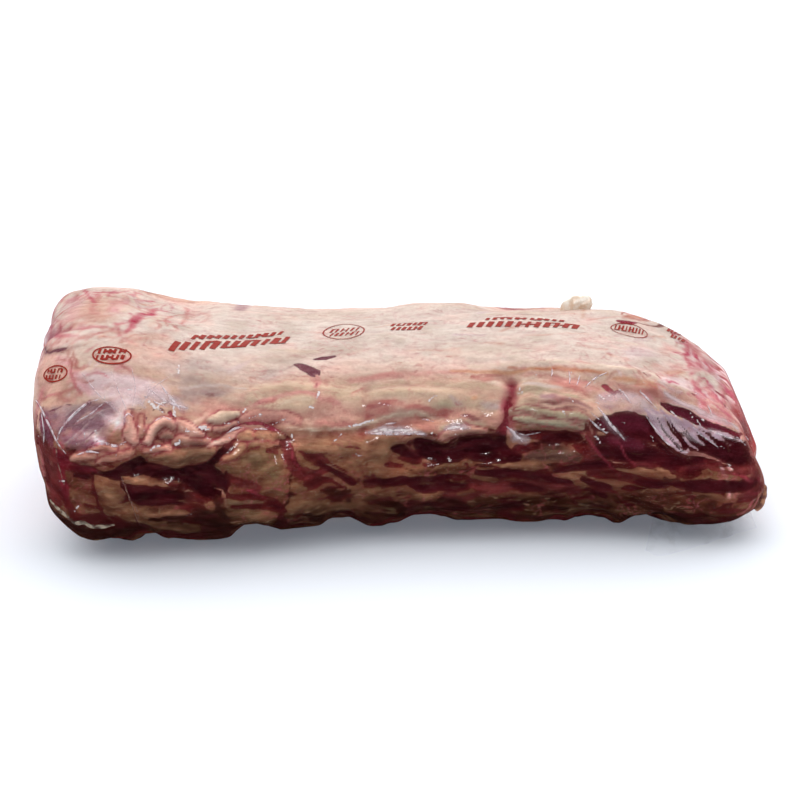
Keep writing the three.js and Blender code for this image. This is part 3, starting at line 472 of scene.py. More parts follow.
  188 31.4 0.8, 195 28 1.7, 201 24.8 1.5, 206 21 0.4; 198 29 0.6, 206 26.6 1.4, 215 23 0.4
frost 0.8 0.6: 148 34.6 0.6, 154 31.6 1, 160 33 0.6; 166 33 0.5, 173 28 0.7, 177 22 0.4; 168 16 0.4,
  172 14.4 0.6; 158 26 0.5, 161 22 0.6
lean 0.35 1.2: 155.4 31 0.1, 158.6 26.6 0.6, 162.4 22 1.1, 166.6 17 0.8, 170 14.8 0.2; 164.6 32 0.1,
  168.4 28 0.7, 172 23.4 1, 176 18 0.7; 174.4 31 0.1, 178.6 27 0.5, 183 21.4 0.7, 186 18.6 0.8;
  184.6 29 0.1, 188.6 25 0.5, 193 20 0.9; 194 27.4 0.1, 198.4 23.4 0.6, 202 19 0.8
fume 0.5 0.9: 170 14.4 0.3, 174 15.6 0.9, 176 17.4 0.3; 160.4 24 0.1, 163.4 21 0.4, 166 20 0.1
garnet 2 0.85: 114 25 2.4, 124 26 4, 136 26.6 4, 144 26 3; 118 16 2, 128 15 3, 138 15 2
# The orange edge of the cap along the front.
blush 1.1 0.55: -22 53.6 0.6, -8 54.6 1.2, 4 53.4 1; -4 51.6 0.8, 2 52 0.6
blush 1.6 0.7: -28 52 1.6, -10 53 2, 6 54.6 1.6, 24 55.4 1.2, 40 56 1.2
blush 0.9 0.45: -10 53 0.7, -4 54.6 0.7; 30 55 0.7, 37 54.6 0.7
ivory 2 0.8: 44 50 1.4, 56 48 2; 70 50 1, 84 48 1; 40 60 1.6, 70 61 1.6, 110 61 1.6, 140 60 2
amber 1.2 0.9: 30 56.4 0.6, 40 56 0.8, 54 55.2 1.2, 64 55 1.2, 74 55 1, 88 56.2 1.4, 104 56.6 1.4,
  118 55.4 0.9
ember 0.8 0.6: 78 55.4 0.4, 90 56 0.8, 102 56.8 0.6, 114 55.6 0.5; 62 58.6 0.5, 67 57.6 0.6
rose 1.4 0.6: 42 51.6 1.4, 48 49.6 1.6, 54 52 1.6, 60 52.6 1.6
rose 1.2 0.5: 43 51 1, 46 52 0.8; 48 48 0.8, 52 50 0.8; 66 57 0.8, 72 55.6 0.8
blush 1.2 0.5: 56 70 0.6, 56 60 0.8; 72 52 1.6, 84 52.6 1.2
wine 3 0.8: 206 -4 5, 222 -2 6, 240 0 6
wine 2 0.7: 204 4 2, 216 6 3, 236 6 4; 200 -12 2, 216 -10 3, 236 -10 4
# Streaks of fat and blood along the lower side.
straw 2 0.6: -50 12 1.6, -38 11 2.6, -27 9 2.6, -16 10 3; -92 7 2.4, -84 6 3
rust 2 0.8: 8 -3 0.8, 20 -4 1.8, 32 -3.6 1.8, 40 -3 0.8; -8 -3.6 0.6, 2 -4.6 0.9
tan 1.2 0.9: -4 3 0.6, 6 -0.4 1.2, 16 -2 1.2, 27 -1.2 1, 38 1.4 0.8, 48 0.6 1, 60 -0.4 0.8; 4 -4.6 0.5,
  14 -5.6 0.9, 26 -5.8 0.9, 36 -5.2 0.9, 43 -8.4 0.7, 56 -10.6 0.6
straw 0.8 0.6: 2 0.6 0.4, 14 -1.6 0.5, 26 -0.6 0.4; 44 -1.4 0.5, 48 -3.4 0.8, 54 -2 0.4
lean 1.2 0.95: -19 -6.2 0.5, -10 -7.6 1.5, 0 -8.8 2, 10 -8.2 1.5, 20 -8.2 1.5, 29 -7.6 0.7
lean 1.2 0.95: 6 -12 0.6, 13 -13.8 2.1, 20 -12.4 1.9, 28 -13 2.6, 34 -13.8 1.4, 39 -13.6 0.6
rust 0.8 0.8: 13 -11.2 0.4, 21 -10.8 0.5; 22 -15 0.4, 27 -16.6 0.6; 29 -10.6 0.5, 35 -11.6 0.5;
  24 -12.4 0.3, 26 -13.6 0.3
lean 1.4 0.95: 43 -5.6 0.7, 51 -5 1.9, 60 -4.6 1.8
wine 2 0.75: 40 -12 1.4, 50 -13.8 2.8, 60 -13 2; 26 -18 1, 36 -20 1.6, 44 -17.6 1
umber 1.4 0.8: 23 -20 0.9, 31 -22.4 1.5, 39 -25 1.2; 44 -24 0.6, 50 -27 1
wine 1.2 0.6: 4.6 -22 0.7, 6 -30 1.2, 6 -38 1.6; 12 -26 0.6, 13 -36 1; 20 -25 0.6, 22 -36 1.2; 44 -26 0.8,
  46 -36 1.2; -30 -26 0.6, -27 -34 1; 55 -18 0.6, 56 -26 0.8
straw 0.9 0.75: 58 -0.6 0.7, 64 -0.4 0.9, 72 -1 1, 84 -3.4 1, 94 -6.6 0.9, 106 -9 0.7; 60 1 0.6,
  80 -0.6 0.7, 104 -4.4 0.7, 120 -2.6 0.8, 138 1 0.9, 150 2.6 0.8, 160 0 0.8
lean 1.3 0.92: 56 -6 1, 64 -5.6 1.8, 72 -6.6 2, 84 -8.6 1.8, 96 -11.4 1.4; 88 -3.6 1, 104 -1 2,
  118 0.6 1.4
maroon 1.4 0.9: 108 -5 1.4, 118 -5.6 2.6, 130 -5.4 2.6, 140 -6 3, 152 -6.4 2.4
lean 1.2 0.85: 134 -7.6 1, 144 -8 2.2, 152 -7 1; 104 -9 1, 111 -12 1.4, 118 -14 1
soil 2 0.85: 104 -18 2, 120 -19 3, 140 -17 3, 156 -18 4, 172 -16.4 4, 184 -16 3
wine 1.6 0.7: 58 -12.6 2, 72 -13.6 3, 86 -14 2.4, 100 -15 2
lean 1.2 0.8: 64 -13 1, 72 -14.4 2, 80 -16 1; 106 -15 0.8, 113 -18 1.2, 118 -20 0.8
soil 2 0.7: 44 -22 3, 56 -26 4; 70 -22 2, 84 -24 3, 100 -25 3; 112 -25 2, 126 -25 3
tan 1 0.6: 58 -20.6 0.7, 70 -21.4 0.9, 80 -20.4 0.5; 72 -26 0.6, 76 -32 0.8; 116 -23 0.5, 128 -25 0.7;
  122 -29 0.6, 134 -28 0.8; 96 -22 0.5, 103 -25 0.6
umber 1.6 0.8: 132 -20 0.8, 140 -22 1.8, 150 -24.6 2; 84 -31 2, 94 -32 2; 70 -40 3, 84 -42 3; 112 -38 3,
  140 -38 4; 150 -29 3, 164 -31 3, 180 -29 3
wine 1.2 0.6: 96 -17 0.8, 100 -26 1; 108 -20 0.6, 110 -31 0.9; 88 -24 0.5, 90 -34 1; 64 -24 0.5,
  66 -34 0.8
lean 1.2 0.95: 154 -5.4 0.6, 164 -5.4 1.8, 176 -4.8 3, 190 -4.6 3.2, 204 -4 2.4, 214 -3 1.4
wine 1.4 0.45: 154 -11 0.6, 157 -18 0.9; 168 -10 0.6, 170 -19 0.8; 180.4 -11 0.5, 181.6 -19 0.5;
  183 -21.6 0.6, 198 -18.6 0.8
tan 0.9 0.8: 160 0 0.6, 168 -1.6 0.8, 182 0.6 0.7, 198 0.4 0.7, 212 1.6 0.6; 158 -9 0.4, 166 -9 0.5
rust 1.4 0.8: 158 -14 1.6, 165 -14.6 2; 172.6 -14 2.2, 178 -14.6 1.6
straw 1.2 0.4: 186 -14.4 2.2, 196 -13.4 2
ember 1.6 0.35: 185 -15.6 2, 198 -14 2
wine 2 0.8: 203 -10 2, 212 -9 3, 224 -9 4, 238 -8 4
crimson 1 0.6: 200 3 0.5, 206 1 0.8, 212 -2 0.6; 206 -8 0.5, 214 -13 0.8; 216 -2 0.8, 222 -8 1
straw 2 0.7: 213 -14 1.6, 221 -18 2, 226 -26 2
sand 0.5 0.8: -104 -6 0.2, -99 -9 0.5, -96 -14 0.2; -122 -6 0.2, -118 -8.4 0.5, -112 -8.6 0.2;
  -148 8.8 0.2, -141 8 0.4, -136 9.6 0.2; 112 4.6 0.2, 120 3 0.5, 130 3.4 0.2; 143 17.4 0.2, 148 15.6 0.6,
  151 13 0.2; 96 11 0.2, 101 12.4 0.5, 105 16 0.3; 176 12.4 0.3, 184 12 1, 192 9.6 0.6, 202 8.6 0.2
dusk 0.8 0.7: 172 13 0.8, 180 13.6 1.6, 188 11.6 1.2, 196 9.6 0.6; 152 21 0.3, 158 15 0.6, 166 11 0.3
crimson 0.6 0.7: 100 22 0.2, 108 12 0.6, 117 1 0.5, 124 -6 0.2; 122 15 0.2, 129 8 0.5, 134 2 0.2;
  -62 16 0.3, -60.6 9 0.6, -57 4.6 0.3; -88 -6 0.2, -82 -8 0.5, -76 -11 0.2
# The top: marbling of the left lobe, stains at the back and at the right end.
peach 8 0.7: -182 100 14, -172 130 14; -150 66 8, -128 66 6
musk 4 0.7: -211 150 2, -209 120 4, -206 96 6, -196 84 4
cerise 1.6 0.5: -208 112 0.6, -203 98 1.2, -198 84 1, -192 76 1.4; -204 120 0.5, -198 104 0.8, -193 88 0.8
candy 4 0.7: -196 150 4, -190 120 4, -190 96 4; -162 150 4, -166 110 4
ivory 2.4 0.7: -178 168 1, -174 140 1.6, -172 110 1.4; -160 160 1, -158 136 1.6, -160 112 1.4; -140 140 1,
  -141 120 1.8, -144 100 1
peach 5 0.6: -180 140 6, -176 112 7, -168 96 5; -150 76 5, -136 84 6
blush 1.4 0.85: -179 160 0.6, -180 134 1.4, -177 104 1; -168 150 0.6, -167 130 1.2, -169 112 0.6;
  -135 150 0.6, -136 124 1.2, -135 104 0.5; -128 176 0.8, -126 150 1, -128 130 0.5
magenta 1.2 0.9: -190 172 0.8, -186 154 1.3, -183 142 1.2, -180 130 0.7
magenta 1.8 0.8: -182 160 2, -176 162 1.6, -172 166 1; -186 82 0.8, -180 83 1.6, -168 85 1; -196 82 1.6,
  -189 76 2, -182 73 1.4
magenta 2 0.6: -185 156 1.4, -180 153 2; -174 153 0.8, -168 150 0.6
blush 2.4 0.6: -163 166 1.2, -164 150 1.6, -165 134 1.2; -148 154 1.6, -147 146 2.6, -149 142 1.4;
  -118 164 0.8, -113 150 1, -117 136 0.8; -172 84 1, -162 82 1.4, -158 78 1
magenta 1.6 0.85: -137 160 0.6, -144 156 1, -146 150 2, -147 138 2.2, -148 124 2.2, -150 111 2.8,
  -153 101 3.4, -153 92 1.8, -155 80 0.7
cerise 1.2 0.6: -146 149 0.8, -147 134 1.2, -149 116 1.2, -153 102 1.8, -154 92 0.6; -137 178 0.6,
  -135 166 0.8; -160 178 0.5, -159 166 0.7
blush 1 0.5: -196 90 0.7, -191 78 0.8, -186 68 0.7; -178 120 0.5, -174 104 0.6; -141 106 0.8, -138 96 0.6;
  -129 132 0.7, -126 118 0.6; -170 110 0.5, -160 104 0.5
shell 4 0.5: -168 142 4, -165 122 4
petal 6 0.6: 138 80 6, 152 90 9, 168 100 7
shell 3 0.6: -190 120 2, -186 96 2; -158 128 3, -152 140 3; -126 150 3, -122 168 3; -136 84 2, -130 100 2
mauve 2.4 0.7: -96 166 2.6, -96 190 4
cream 7 0.35: -84 64 6, -58 76 7; -30 60 4, 10 62 4
shell 3 0.4: -36 70 1, -22 78 2, -8 84 1.4; -26 64 3, -4 60 3
ivory 10 0.35: -70 150 14, -30 170 12; 60 172 10, 96 160 8; 30 76 8, 70 80 10
ivory 4 0.5: 116 176 6, 130 160 5; 60 170 4, 84 166 4
amber 1.2 0.4: 110 148 0.6, 111 164 0.8, 114 184 0.8; 44 178 0.5, 49 164 0.8, 58 158 0.6
blush 3 0.5: 145 184 4, 150 168 4, 156 158 2; 166 176 2, 176 186 2
terra 2.4 0.9: 141 150 3, 150 158 6, 158 168 8, 164 180 9
amber 2.4 0.6: 148 160 2, 158 172 3, 166 184 3
rose 1 0.8: 139 158 0.8, 142 168 1.2, 146 180 1.2; 156 154 0.5, 162 164 0.8, 168 176 0.8
crimson 0.9 0.95: 134 144 0.8, 139 142.6 1.8, 147 143 2, 153 146 0.9
dusk 1 0.9: 152 146 0.8, 163 151 1, 173 159 1.4, 181 170 2, 185 186 2.6
blush 5 0.5: 165 74 5, 182 72 6, 190 86 5; 176 100 5, 188 124 5
amber 3 0.4: 176 70 2, 190 75 3
candy 4 0.85: 206 170 5, 205 130 8, 205 96 7; 220 140 6, 220 100 6
magenta 1.6 0.9: 202 172 1.2, 200 134 1.8, 197 116 1.8, 199 92 1; 206 156 1, 206 120 2, 205 98 0.8;
  213 150 1, 215 124 2, 210 98 1; 190 116 1.4, 196 116 1
cerise 1.2 0.85: 199 136 0.6, 199 122 1.1, 197 112 0.6; 208 150 0.6, 206 128 1.2, 205 106 0.6;
  217 152 0.8, 221 132 1.6, 222 112 0.8; 203 182 1, 202 166 0.8
magenta 3 0.6: 226 170 3, 228 140 4, 228 110 4, 226 84 4, 222 74 3
cerise 1 0.8: 222 168 0.6, 226 140 1.4, 227 112 0.8; 221 106 0.6, 224 88 1.4, 220 70 1; 232 130 0.8,
  234 104 1.2, 231 84 0.6; 206 66 0.5, 211 58 1, 214 46 0.6
petal 0.8 0.9: 230 150 0.6, 231 120 1, 229 96 0.5; 224 76 0.5, 226 66 1, 229 56 0.5; 209 66 0.4,
  212 60 0.9, 214 53 0.4; 218 46 0.4, 222 42 0.9, 226 40 0.4
petal 1.4 0.8: 203 150 0.6, 202 128 1, 202 108 0.6; 210 140 0.8, 211 120 1.2, 208 100 0.8; 218 124 0.8,
  218 104 1.2, 215 88 0.8; 224 130 0.6, 225 112 0.9
blush 3 0.6: 196 186 3, 204 168 3, 210 150 3; 214 170 3, 222 186 3
""")

# The rolled lobules of fat, from the lowest to the one on top: tint, height in mm, then strokes.
# Each has a round back, and a dark red line of painted shade in the crevice round it.
LOBES = drawn("""
sand 1.3: -181 8 1.4, -175 9.6 2.2, -168 10.6 2
sand 1.3: -170 13.4 0.9, -163 13.6 1.6, -156 13 1.2; -166 7.4 1, -158 8.4 1.7, -150 10.8 1.9,
  -146 12.6 1.4
straw 1.8: -137 8 2.4, -129 9 4.6, -119 9.4 5.2, -110 11 4.6, -104 13 2.6
sand 1.3: -140 13.4 1.4, -134 14.8 2, -127 14.6 1.8
sand 1.6: -124 17.4 2, -117 17.8 2.8, -110 18 2.6, -104 17.4 1.4
clay 2: -123 26 2, -119 24 3.2, -114 22 3, -109 20.6 1.8
clay 2.2: -148.6 30 1.6, -148.6 25 2.8, -147.6 20 3.4, -145 17.4 2.4
sand 1.6: -142.4 29 1.2, -142.2 24.6 1.7, -141.8 20.6 1.8
clay 2.5: -138.6 18 2, -136.4 21.4 3, -133 25 3.1, -128.6 26.4 2.9, -125.2 24 2.2
sand 1.2: -131 20.2 1.4, -128.6 20 1.9, -126 19.6 1.4
clay 1.4: -109 25 1.4, -104.4 24 1.5; -102 23.8 1.2, -96 24.4 1.6, -91 26 1.1
bar 1.8: -104.6 28 1.6, -98 29.6 3.4, -91 30.4 2.8
terra 1: -88 28 1.8, -79 29.4 3, -68 29 3, -57 27 2.2
clay 1.6: -105 16 1.4, -98 18 2.2, -92 20.6 2.4, -87.6 21.8 1.8
straw 1.7: -88 19.8 2, -84 20 2.8, -80.6 19.6 2; -79 20 2, -73 19.6 2.8, -67 18.8 2.4, -64.6 17.4 1.4
straw 1.1: -98 9 1.2, -92 11 1.8, -87 15 2
# The rounded bars and folds right of the middle.
tallow 0.7: 66 30.4 1.4, 76 29.8 1.9, 90 28.2 1.9, 104 26.6 1.2
tallow 0.7: 65 25 1.6, 76 24.4 1.9, 90 22.8 1.9, 103 20.8 1.1
sand 1.2: 24 17 1.6, 30 19 2.8, 38 20 2.8, 48 18.6 1.8
""")

# Where streaks are scattered: left, right, bottom, top, count, half length in mm, slope, tints.
STREAK_ZONES = [
    (-196, 236, 200, 335, 130, 28, 0, "stain maroon tan straw blush cream ivory wine"),
    (-196, 236, 190, 335, 200, 16, 0, "rust maroon straw rose blush stain ivory cream"),
    (-196, 236, 335, 428, 110, 36, 0, "lean maroon tan straw rust wine umber"),
    (-200, 236, -44, 20, 120, 7, 0, "maroon umber rust wine tan"),
    (-200, 236, -44, 18, 260, 4, 0, "maroon umber tan straw rust wine rust maroon"),
    (-150, 150, 22, 56, 110, 5, 0.05, "blush clay cream ivory bar peach"),
    (100, 230, 26, 70, 90, 5, -0.6, "blush rose magenta petal peach crimson"),
    (-205, -150, 20, 80, 70, 5, 0.7, "blush magenta petal peach rose"),
    (-205, -125, 80, 175, 110, 7, 1.3, "blush magenta candy ivory peach magenta"),
    (-100, 190, 58, 190, 40, 12, 0.1, "shell ivory petal peach"),
    (190, 240, -20, 180, 160, 9, 1.2, "magenta cerise candy rose petal magenta"),
    (-240, -200, -30, 180, 120, 8, 1.3, "magenta candy rose crimson blush"),
]

# ---- The bag: creases with painted highlights, whitened film and print ---------------------------
# The creases are drawn white: painted highlights along their folds.
CREASES = strokes("""
-209 35 0.3, -200 29 0.6, -194 22 0.6, -190 16 0.5, -184 10 0.2; -165 36 0.2, -172 34 0.6, -180 28 0.7,
-187 21 0.5, -189 16 0.3; -162 35 0.2, -170 29 0.4, -178 25 0.2; -200 28 0.2, -198 20 0.5, -199 12 0.2;
-168 14 0.2, -162 16 0.6, -156 15 0.6, -150 17 0.2; -178 10 0.2, -171 12 0.5, -165 11.6 0.2; -152 27 0.2,
-149 29 0.7, -146 28 0.2; -133 45 0.2, -127 38 0.8, -121 32 0.3; -139 42 0.2, -128 35.6 0.7, -117 33 0.2;
-141 38 0.2, -134 35 0.4, -127 33 0.2; -136 26 0.2, -131 28 0.6, -126 27 0.2; -150 31 0.1, -155 40 0.25,
-160 50 0.1; -147 33 0.1, -146 42 0.25, -149 52 0.1; -142 34 0.1, -136 43 0.25, -128 50 0.1; -156 31 0.1,
-166 38 0.25, -176 48 0.1; -96 21.4 0.2, -91 23.8 0.6, -86 24.6 0.2; -81 23.4 0.2, -77 23.8 0.6,
-73 23.4 0.2; -16 19 0.2, -8 19.2 1, 2 18.8 1, 15 18 0.2; -8 24 0.2, -5 24.2 0.5, -2 24.4 0.2;
12 25.8 0.2, 15 25.6 0.5, 19 24.6 0.2; 27 21 0.2, 31 21.2 0.9, 36 21 0.2; 60 21 0.2, 63 18.6 0.5,
66 15 0.6, 69 11.6 0.2; 66 17.6 0.2, 70 15.6 0.4, 75 16.4 0.4, 79 17.2 0.2; 86 57.6 0.2, 86.6 54.6 0.6,
86 51.6 0.2; 102 52.6 0.2, 101 49 0.5, 100 45.6 0.2; 96 55.6 0.2, 96.4 51 0.5, 96 46.6 0.2; 105 45 0.2,
108 48.6 0.5, 112 52 0.5, 118 55 0.2; 111 33 0.2, 115 28.6 0.8, 119 24 1, 124 19.6 0.8, 128 15.4 0.2;
105.6 26.4 0.2, 111 22 0.7, 116.6 18.6 0.2; 107 29.6 0.2, 109.4 27.6 0.4, 112 26 0.2; 122 47.6 0.2,
128 44 0.7, 134 37.6 0.2; 142 45.6 0.2, 147 43 0.7, 151 40.6 0.6, 156 36.6 0.2; 145 32 0.2, 152 25 0.8,
158 18.4 0.8, 165 15 0.6, 173 13 0.2; 183 30 0.2, 190 24 0.7, 198 19.6 0.2; 195 29 0.2, 204 26.4 0.6,
213 24 0.2; 212 26 0.2, 215 23.4 0.5, 218 20 0.2; 200 44.6 0.2, 200.6 41 0.5, 200 37.6 0.2; 222 25.6 0.2,
226 23.6 0.5, 231 22 0.2
""")

# Creases in the shade of the lower side.
LOW_CREASES = strokes("""
-189 16 0.3, -190 8 0.5, -189 -6 0.2; -42 4.4 0.2, -39.5 4.2 0.5, -37 4 0.2; -154 1 0.2, -152 -6 0.35,
-151 -12 0.35, -150 -20 0.35, -150 -28 0.2; -152 -10 0.1, -148.6 -16 0.3, -149 -24 0.1
""")

# The gathered seal along the lower left rim.
SEAL = strokes("""
-203 -19 0.3, -195 -20 0.9, -190 -21.6 0.9, -188 -24 1.1, -183 -23 0.9, -179 -25 0.9, -172 -26 1,
-166 -26 0.3
""")

# Where the bag is whitened by trapped juice and stretch, and painted highlights on it: softness, strength,
# then strokes.
# Painted highlight on the crumpled film right of the middle.
# Painted highlights along the ledge.
HAZE_AND_HIGHLIGHTS = drawn("""
4 0.14: -186 26 6, -170 28 6, -156 32 4
3 0.07: -174 46 3, -160 43 4, -146 40 4
0.7 0.4: -164 35 0.4, -156 32 1.2, -151 26 0.8; -170 31 0.3, -163 28 0.9, -157 24 0.4
0.7 0.45: -143 44 0.3, -136 41 1.4, -128 36 1.2, -124 33 0.3; -150 38 0.4, -144 35.6 1.2, -140 33 0.4
0.8 0.5: -18 19.6 0.6, -8 20 1.8, 2 19.6 2, 14 18.6 0.8; 26 21.6 0.8, 31 22.4 2.2, 38 21.4 0.8
2 0.5: -139 40 2, -128 37 3, -120 34 2
1.6 0.4: 62 18 1.4, 66 15 2, 70 13 2
3 0.4: 114 38 3, 128 41 4, 142 38 4, 152 35 2
1.4 0.12: 112 31 1, 119 24 2, 127 17 0.6
1 0.25: 150 32 2, 160 26 3, 168 18 1.4; 168 32 2, 178 26 2.6, 186 21 1
1 0.3: 196 30 0.8, 203 27 1.2, 211 24 0.5
1.6 0.6: 166 46 1, 178 43 1.6, 191 40 1.8, 205 36 1.6, 216 31 1
2 0.35: 163 54 1.4, 172 50 1.6, 182 50 1.2; 192 56 1.4, 199 50 1.4
""")

# Highlights where the film is drawn tight.
GLINTS = strokes("""
-16 19.4 0.3, -8 19.8 0.6, 2 19.4 0.7, 15 18.4 0.3; 27 21.4 0.3, 31 21.6 0.7, 37 21.2 0.3; 62 19 0.3,
66 15 0.6, 70 12.6 0.3; -30 24.6 0.3, -22 25 0.7, -14 26.6 0.3; -111 24 0.6, -108 24.4 1, -105 23.6 0.4;
-87.6 31 0.7, -86 32.6 0.9; -61 20.4 0.5, -59.4 18.6 0.7; -47 38 0.4, -46 41.6 0.9; -117 22.4 0.8,
-115 21.8 0.6; -125 32.6 0.7, -124 29 0.7; -124 59 0.4, -123.4 53 0.8; -51 33.4 0.6, -48 33.6 0.4;
-121 17.4 0.6, -124 16.2 0.5; -138 15 0.5, -132 16.4 0.6; -139 36 0.7, -131 31 0.5; -136 33 0.5,
-130 36 0.5; -17 22 0.3, -15 23.6 0.4; 112 41 0.5, 115 38 0.5; 116 43 0.4, 119 40.6 0.5; 120 52 0.3,
124 51.6 0.4; 110 36 0.4, 113 34 0.4
""")

# Where short glints are scattered: left, right, bottom, top, count, slope in radians.
GLINT_ZONES = [
    (-206, -150, 6, 50, 10, -0.9), (-150, -100, 12, 46, 10, -0.5), (-98, 30, 16, 44, 8, 0.1),
    (60, 120, 28, 58, 8, -0.9), (108, 215, 14, 56, 26, -0.75), (-190, -100, -20, 6, 3, 0.2),
    (-60, 60, 2, 20, 5, 0.1), (-200, 200, 200, 330, 30, 0.2),
]

# Rows of slanting bars in place of lettering: along, round, run, climb, bar height, pitch, half width.
PRINTED_ROWS = [
    (-128, 76, 66, 24, 13, 5.6, 1.5), (-118, 94, 50, 20, 8, 4.4, 1.2),
    (42, 121, 66, 0, 11, 5.6, 1.4), (52, 133, 46, 1, 5, 4.4, 1.1),
    (-40, 118, 16, 0, 8, 3.0, 0.6), (-40, 108, 16, 0, 8, 3.0, 0.6),
    (-4, 126, 20, 2, 8, 3.2, 0.9), (-4, 115, 19, 1, 8, 3.2, 0.9),
    (132, 134, 28, 0, 8, 3.4, 0.7), (188, 168, 11, 8, 12, 3.0, 0.8), (190, 156, 10, 6, 10, 3.0, 0.8),
    (-168, 61.6, 15, 1.4, 3, 2.8, 0.75), (-169, 57.6, 15, 1.2, 3, 2.8, 0.75),
    (-198, 50.6, 10, -0.6, 2.4, 2.4, 0.5), (-199, 47, 10, -0.6, 2.4, 2.4, 0.5),
]

# Rings printed round some of the rows: middle along and round, half length, half height.
RING_WIDTH = 0.45
PRINTED_RINGS = [(-33, 114, 12, 17), (146, 132, 18, 10), (-193, 48.6, 8, 4.6), (-161, 59.6, 10.5, 5.4)]


# ---- Arithmetic on whole arrays ------------------------------------------------------------------
def ease(start, stop, value):
    """Goes smoothly from 0 at start to 1 at stop: 3t^2 - 2t^3."""
    t = np.clip((value - start) / (stop - start), 0, 1)
    return t * t * (3 - 2 * t)


def bell(distance):
    """1 at no distance, falling as exp(-d^2)."""
    return np.exp(-distance * distance)


def corner_number(cell, salt):
    """A repeatable number from -1 to 1 for each whole-numbered corner, by mixing its bits."""
    x, y, z = (cell[..., i].astype(np.int64) for i in range(3))
    n = (x * 374761393 + y * 668265263 + z * 1274126177 + salt * 362437) & 0xFFFFFFFF
    n = ((n ^ (n >> 13)) * 1103515245) & 0xFFFFFFFF
    n = ((n ^ (n >> 15)) * 668265263) & 0xFFFFFFFF
    return (n ^ (n >> 16)) / 0x7FFFFFFF - 1.0


def cloud(points, size, salt):
    """Value noise: numbers at the corners of a lattice of this size, blended between them."""
    scaled = points / size
    low = np.floor(scaled)
    part = scaled - low
    part = part * part * (3 - 2 * part)
    total = 0.0
    for corner in range(8):
        bits = np.array([corner & 1, corner >> 1 & 1, corner >> 2 & 1])
        weight = np.prod(np.where(bits == 1, part, 1 - part), axis=-1)
        total = total + weight * corner_number(low + bits, salt)
    return total


def clouds(points, size, salt, layers=3):
    """Layers of noise, each half the size and half the strength of the last."""
    return sum(cloud(points, size / 2 ** i, salt + i) / 2 ** i for i in range(layers))


# ---- The roast's skin ----------------------------------------------------------------------------
def section_value(column, x):
    """A smooth curve through one column of SECTIONS, with slopes taken from the neighbours."""
    xs, values = SECTIONS[:, 0], SECTIONS[:, column]
    slopes = np.gradient(values, xs)
    at = np.clip(x, xs[0], xs[-1])
    i = np.clip(np.searchsorted(xs, at, side="right") - 1, 0, len(xs) - 2)
    h = xs[i + 1] - xs[i]
    t = (at - xs[i]) / h
    start = (1 + 2 * t) * (1 - t) ** 2 * values[i] + t * (1 - t) ** 2 * h * slopes[i]
    return start + t * t * (3 - 2 * t) * values[i + 1] + t * t * (t - 1) * h * slopes[i + 1]


def profile(along):
    """x, and the share of the full section: quarter arcs at the rims, then the flat cut faces."""
    def over_rim(past):
        angle = np.clip(past / RIM_RADIUS, 0, math.pi / 2)
        inwards = RIM_RADIUS * (1 - np.cos(angle)) + np.maximum(past - QUARTER_ARC, 0)
        return RIM_RADIUS * np.sin(angle), 1 - inwards / FACE_RADIUS
    out_left, share_left = over_rim(np.maximum(BODY_FROM - along, 0))
    out_right, share_right = over_rim(np.maximum(along - BODY_TO, 0))
    x = np.clip(along, BODY_FROM, BODY_TO) - out_left + out_right
    return x, np.clip(np.minimum(share_left, share_right), 0, 1)


def even_skin(along, round_):
    """A superellipse section carried along the body, with a dished left and a sloping right end."""
    x, share = profile(along)
    angle = np.radians(round_ / MM_PER_DEGREE)
    front, back, top, axis, low = (section_value(i, x) for i in (FRONT, BACK, TOP, AXIS, LOW))
    forward, upward = -np.cos(angle), np.sin(angle)
    reach = np.where(upward >= 0, top - axis, axis - low)
    flat = np.abs(forward / ((back - front) / 2)) ** SQUARENESS
    radius = share * (flat + np.abs(upward / reach) ** SQUARENESS) ** (-1 / SQUARENESS)
    y = (front + back) / 2 + radius * forward
    z = axis + radius * upward
    off = (z - DISH["z"]) / DISH["half_height"]
    bow = np.where(off > 0, DISH["above"], DISH["below"]) * off ** 2
    tucked = SLOPE["tuck"] * (np.maximum(SLOPE["tuck_below"] - z, 0) / SLOPE["tuck_below"]) ** 2
    slope = SLOPE["per_mm"] * np.maximum(z - SLOPE["from_z"], 0) + tucked
    x = x + ease(DISH["start"], LEFT_END, x) * bow - ease(SLOPE["start"], RIGHT_END, x) * slope
    return np.stack([x, y, z], axis=-1)


def stretch_distance(a, r, a0, r0, a1, r1):
    """Distance to a straight stretch, and how far along it the nearest point is, from 0 to 1."""
    along2 = (a1 - a0) ** 2 + (r1 - r0) ** 2 + 1e-9
    t = np.clip(((a - a0) * (a1 - a0) + (r - r0) * (r1 - r0)) / along2, 0, 1)
    return np.hypot(a - a0 - t * (a1 - a0), r - r0 - t * (r1 - r0)), t


def cell_number(i, j, salt):
    wave = np.sin(i * 127.1 + j * 311.7 + salt * 74.7) * 43758.5453
    return wave - np.floor(wave)


def beads(along, round_):
    """Domes on a jittered lattice: height falls with the square of the distance to the nearest."""
    b = BEADS
    out = np.hypot((along - b["along"]) / b["half_length"], (round_ - b["round"]) / b["half_width"])
    within = 1 - ease(0.75, 1.1, out)
    column, row = np.floor(along / b["size"]), np.floor(round_ / b["size"])
    nearest = np.ones_like(along)
    for di in (-1, 0, 1):
        for dj in (-1, 0, 1):
            i, j = column + di, row + dj
            a = (i + 0.2 + 0.6 * cell_number(i, j, 1)) * b["size"]
            r = (j + 0.2 + 0.6 * cell_number(i, j, 2)) * b["size"]
            nearest = np.minimum(nearest, np.hypot(along - a, round_ - r) / b["size"])
    return within * b["height"] * (1 - 1.9 * nearest ** 2)


def wrap(round_):
    """Round, with what lies past the seam counted below 0."""
    return np.where(round_ > SEAM_ROUND, round_ - ROUND_LENGTH, round_)


def from_eye(even):
    """Distance from the middle of a cut face's eye, which is 1 at the eye's edge."""
    return np.hypot((even[..., 1] - EYE["y"]) / EYE["half_width"],
                    (even[..., 2] - EYE["z"]) / EYE["half_height"])


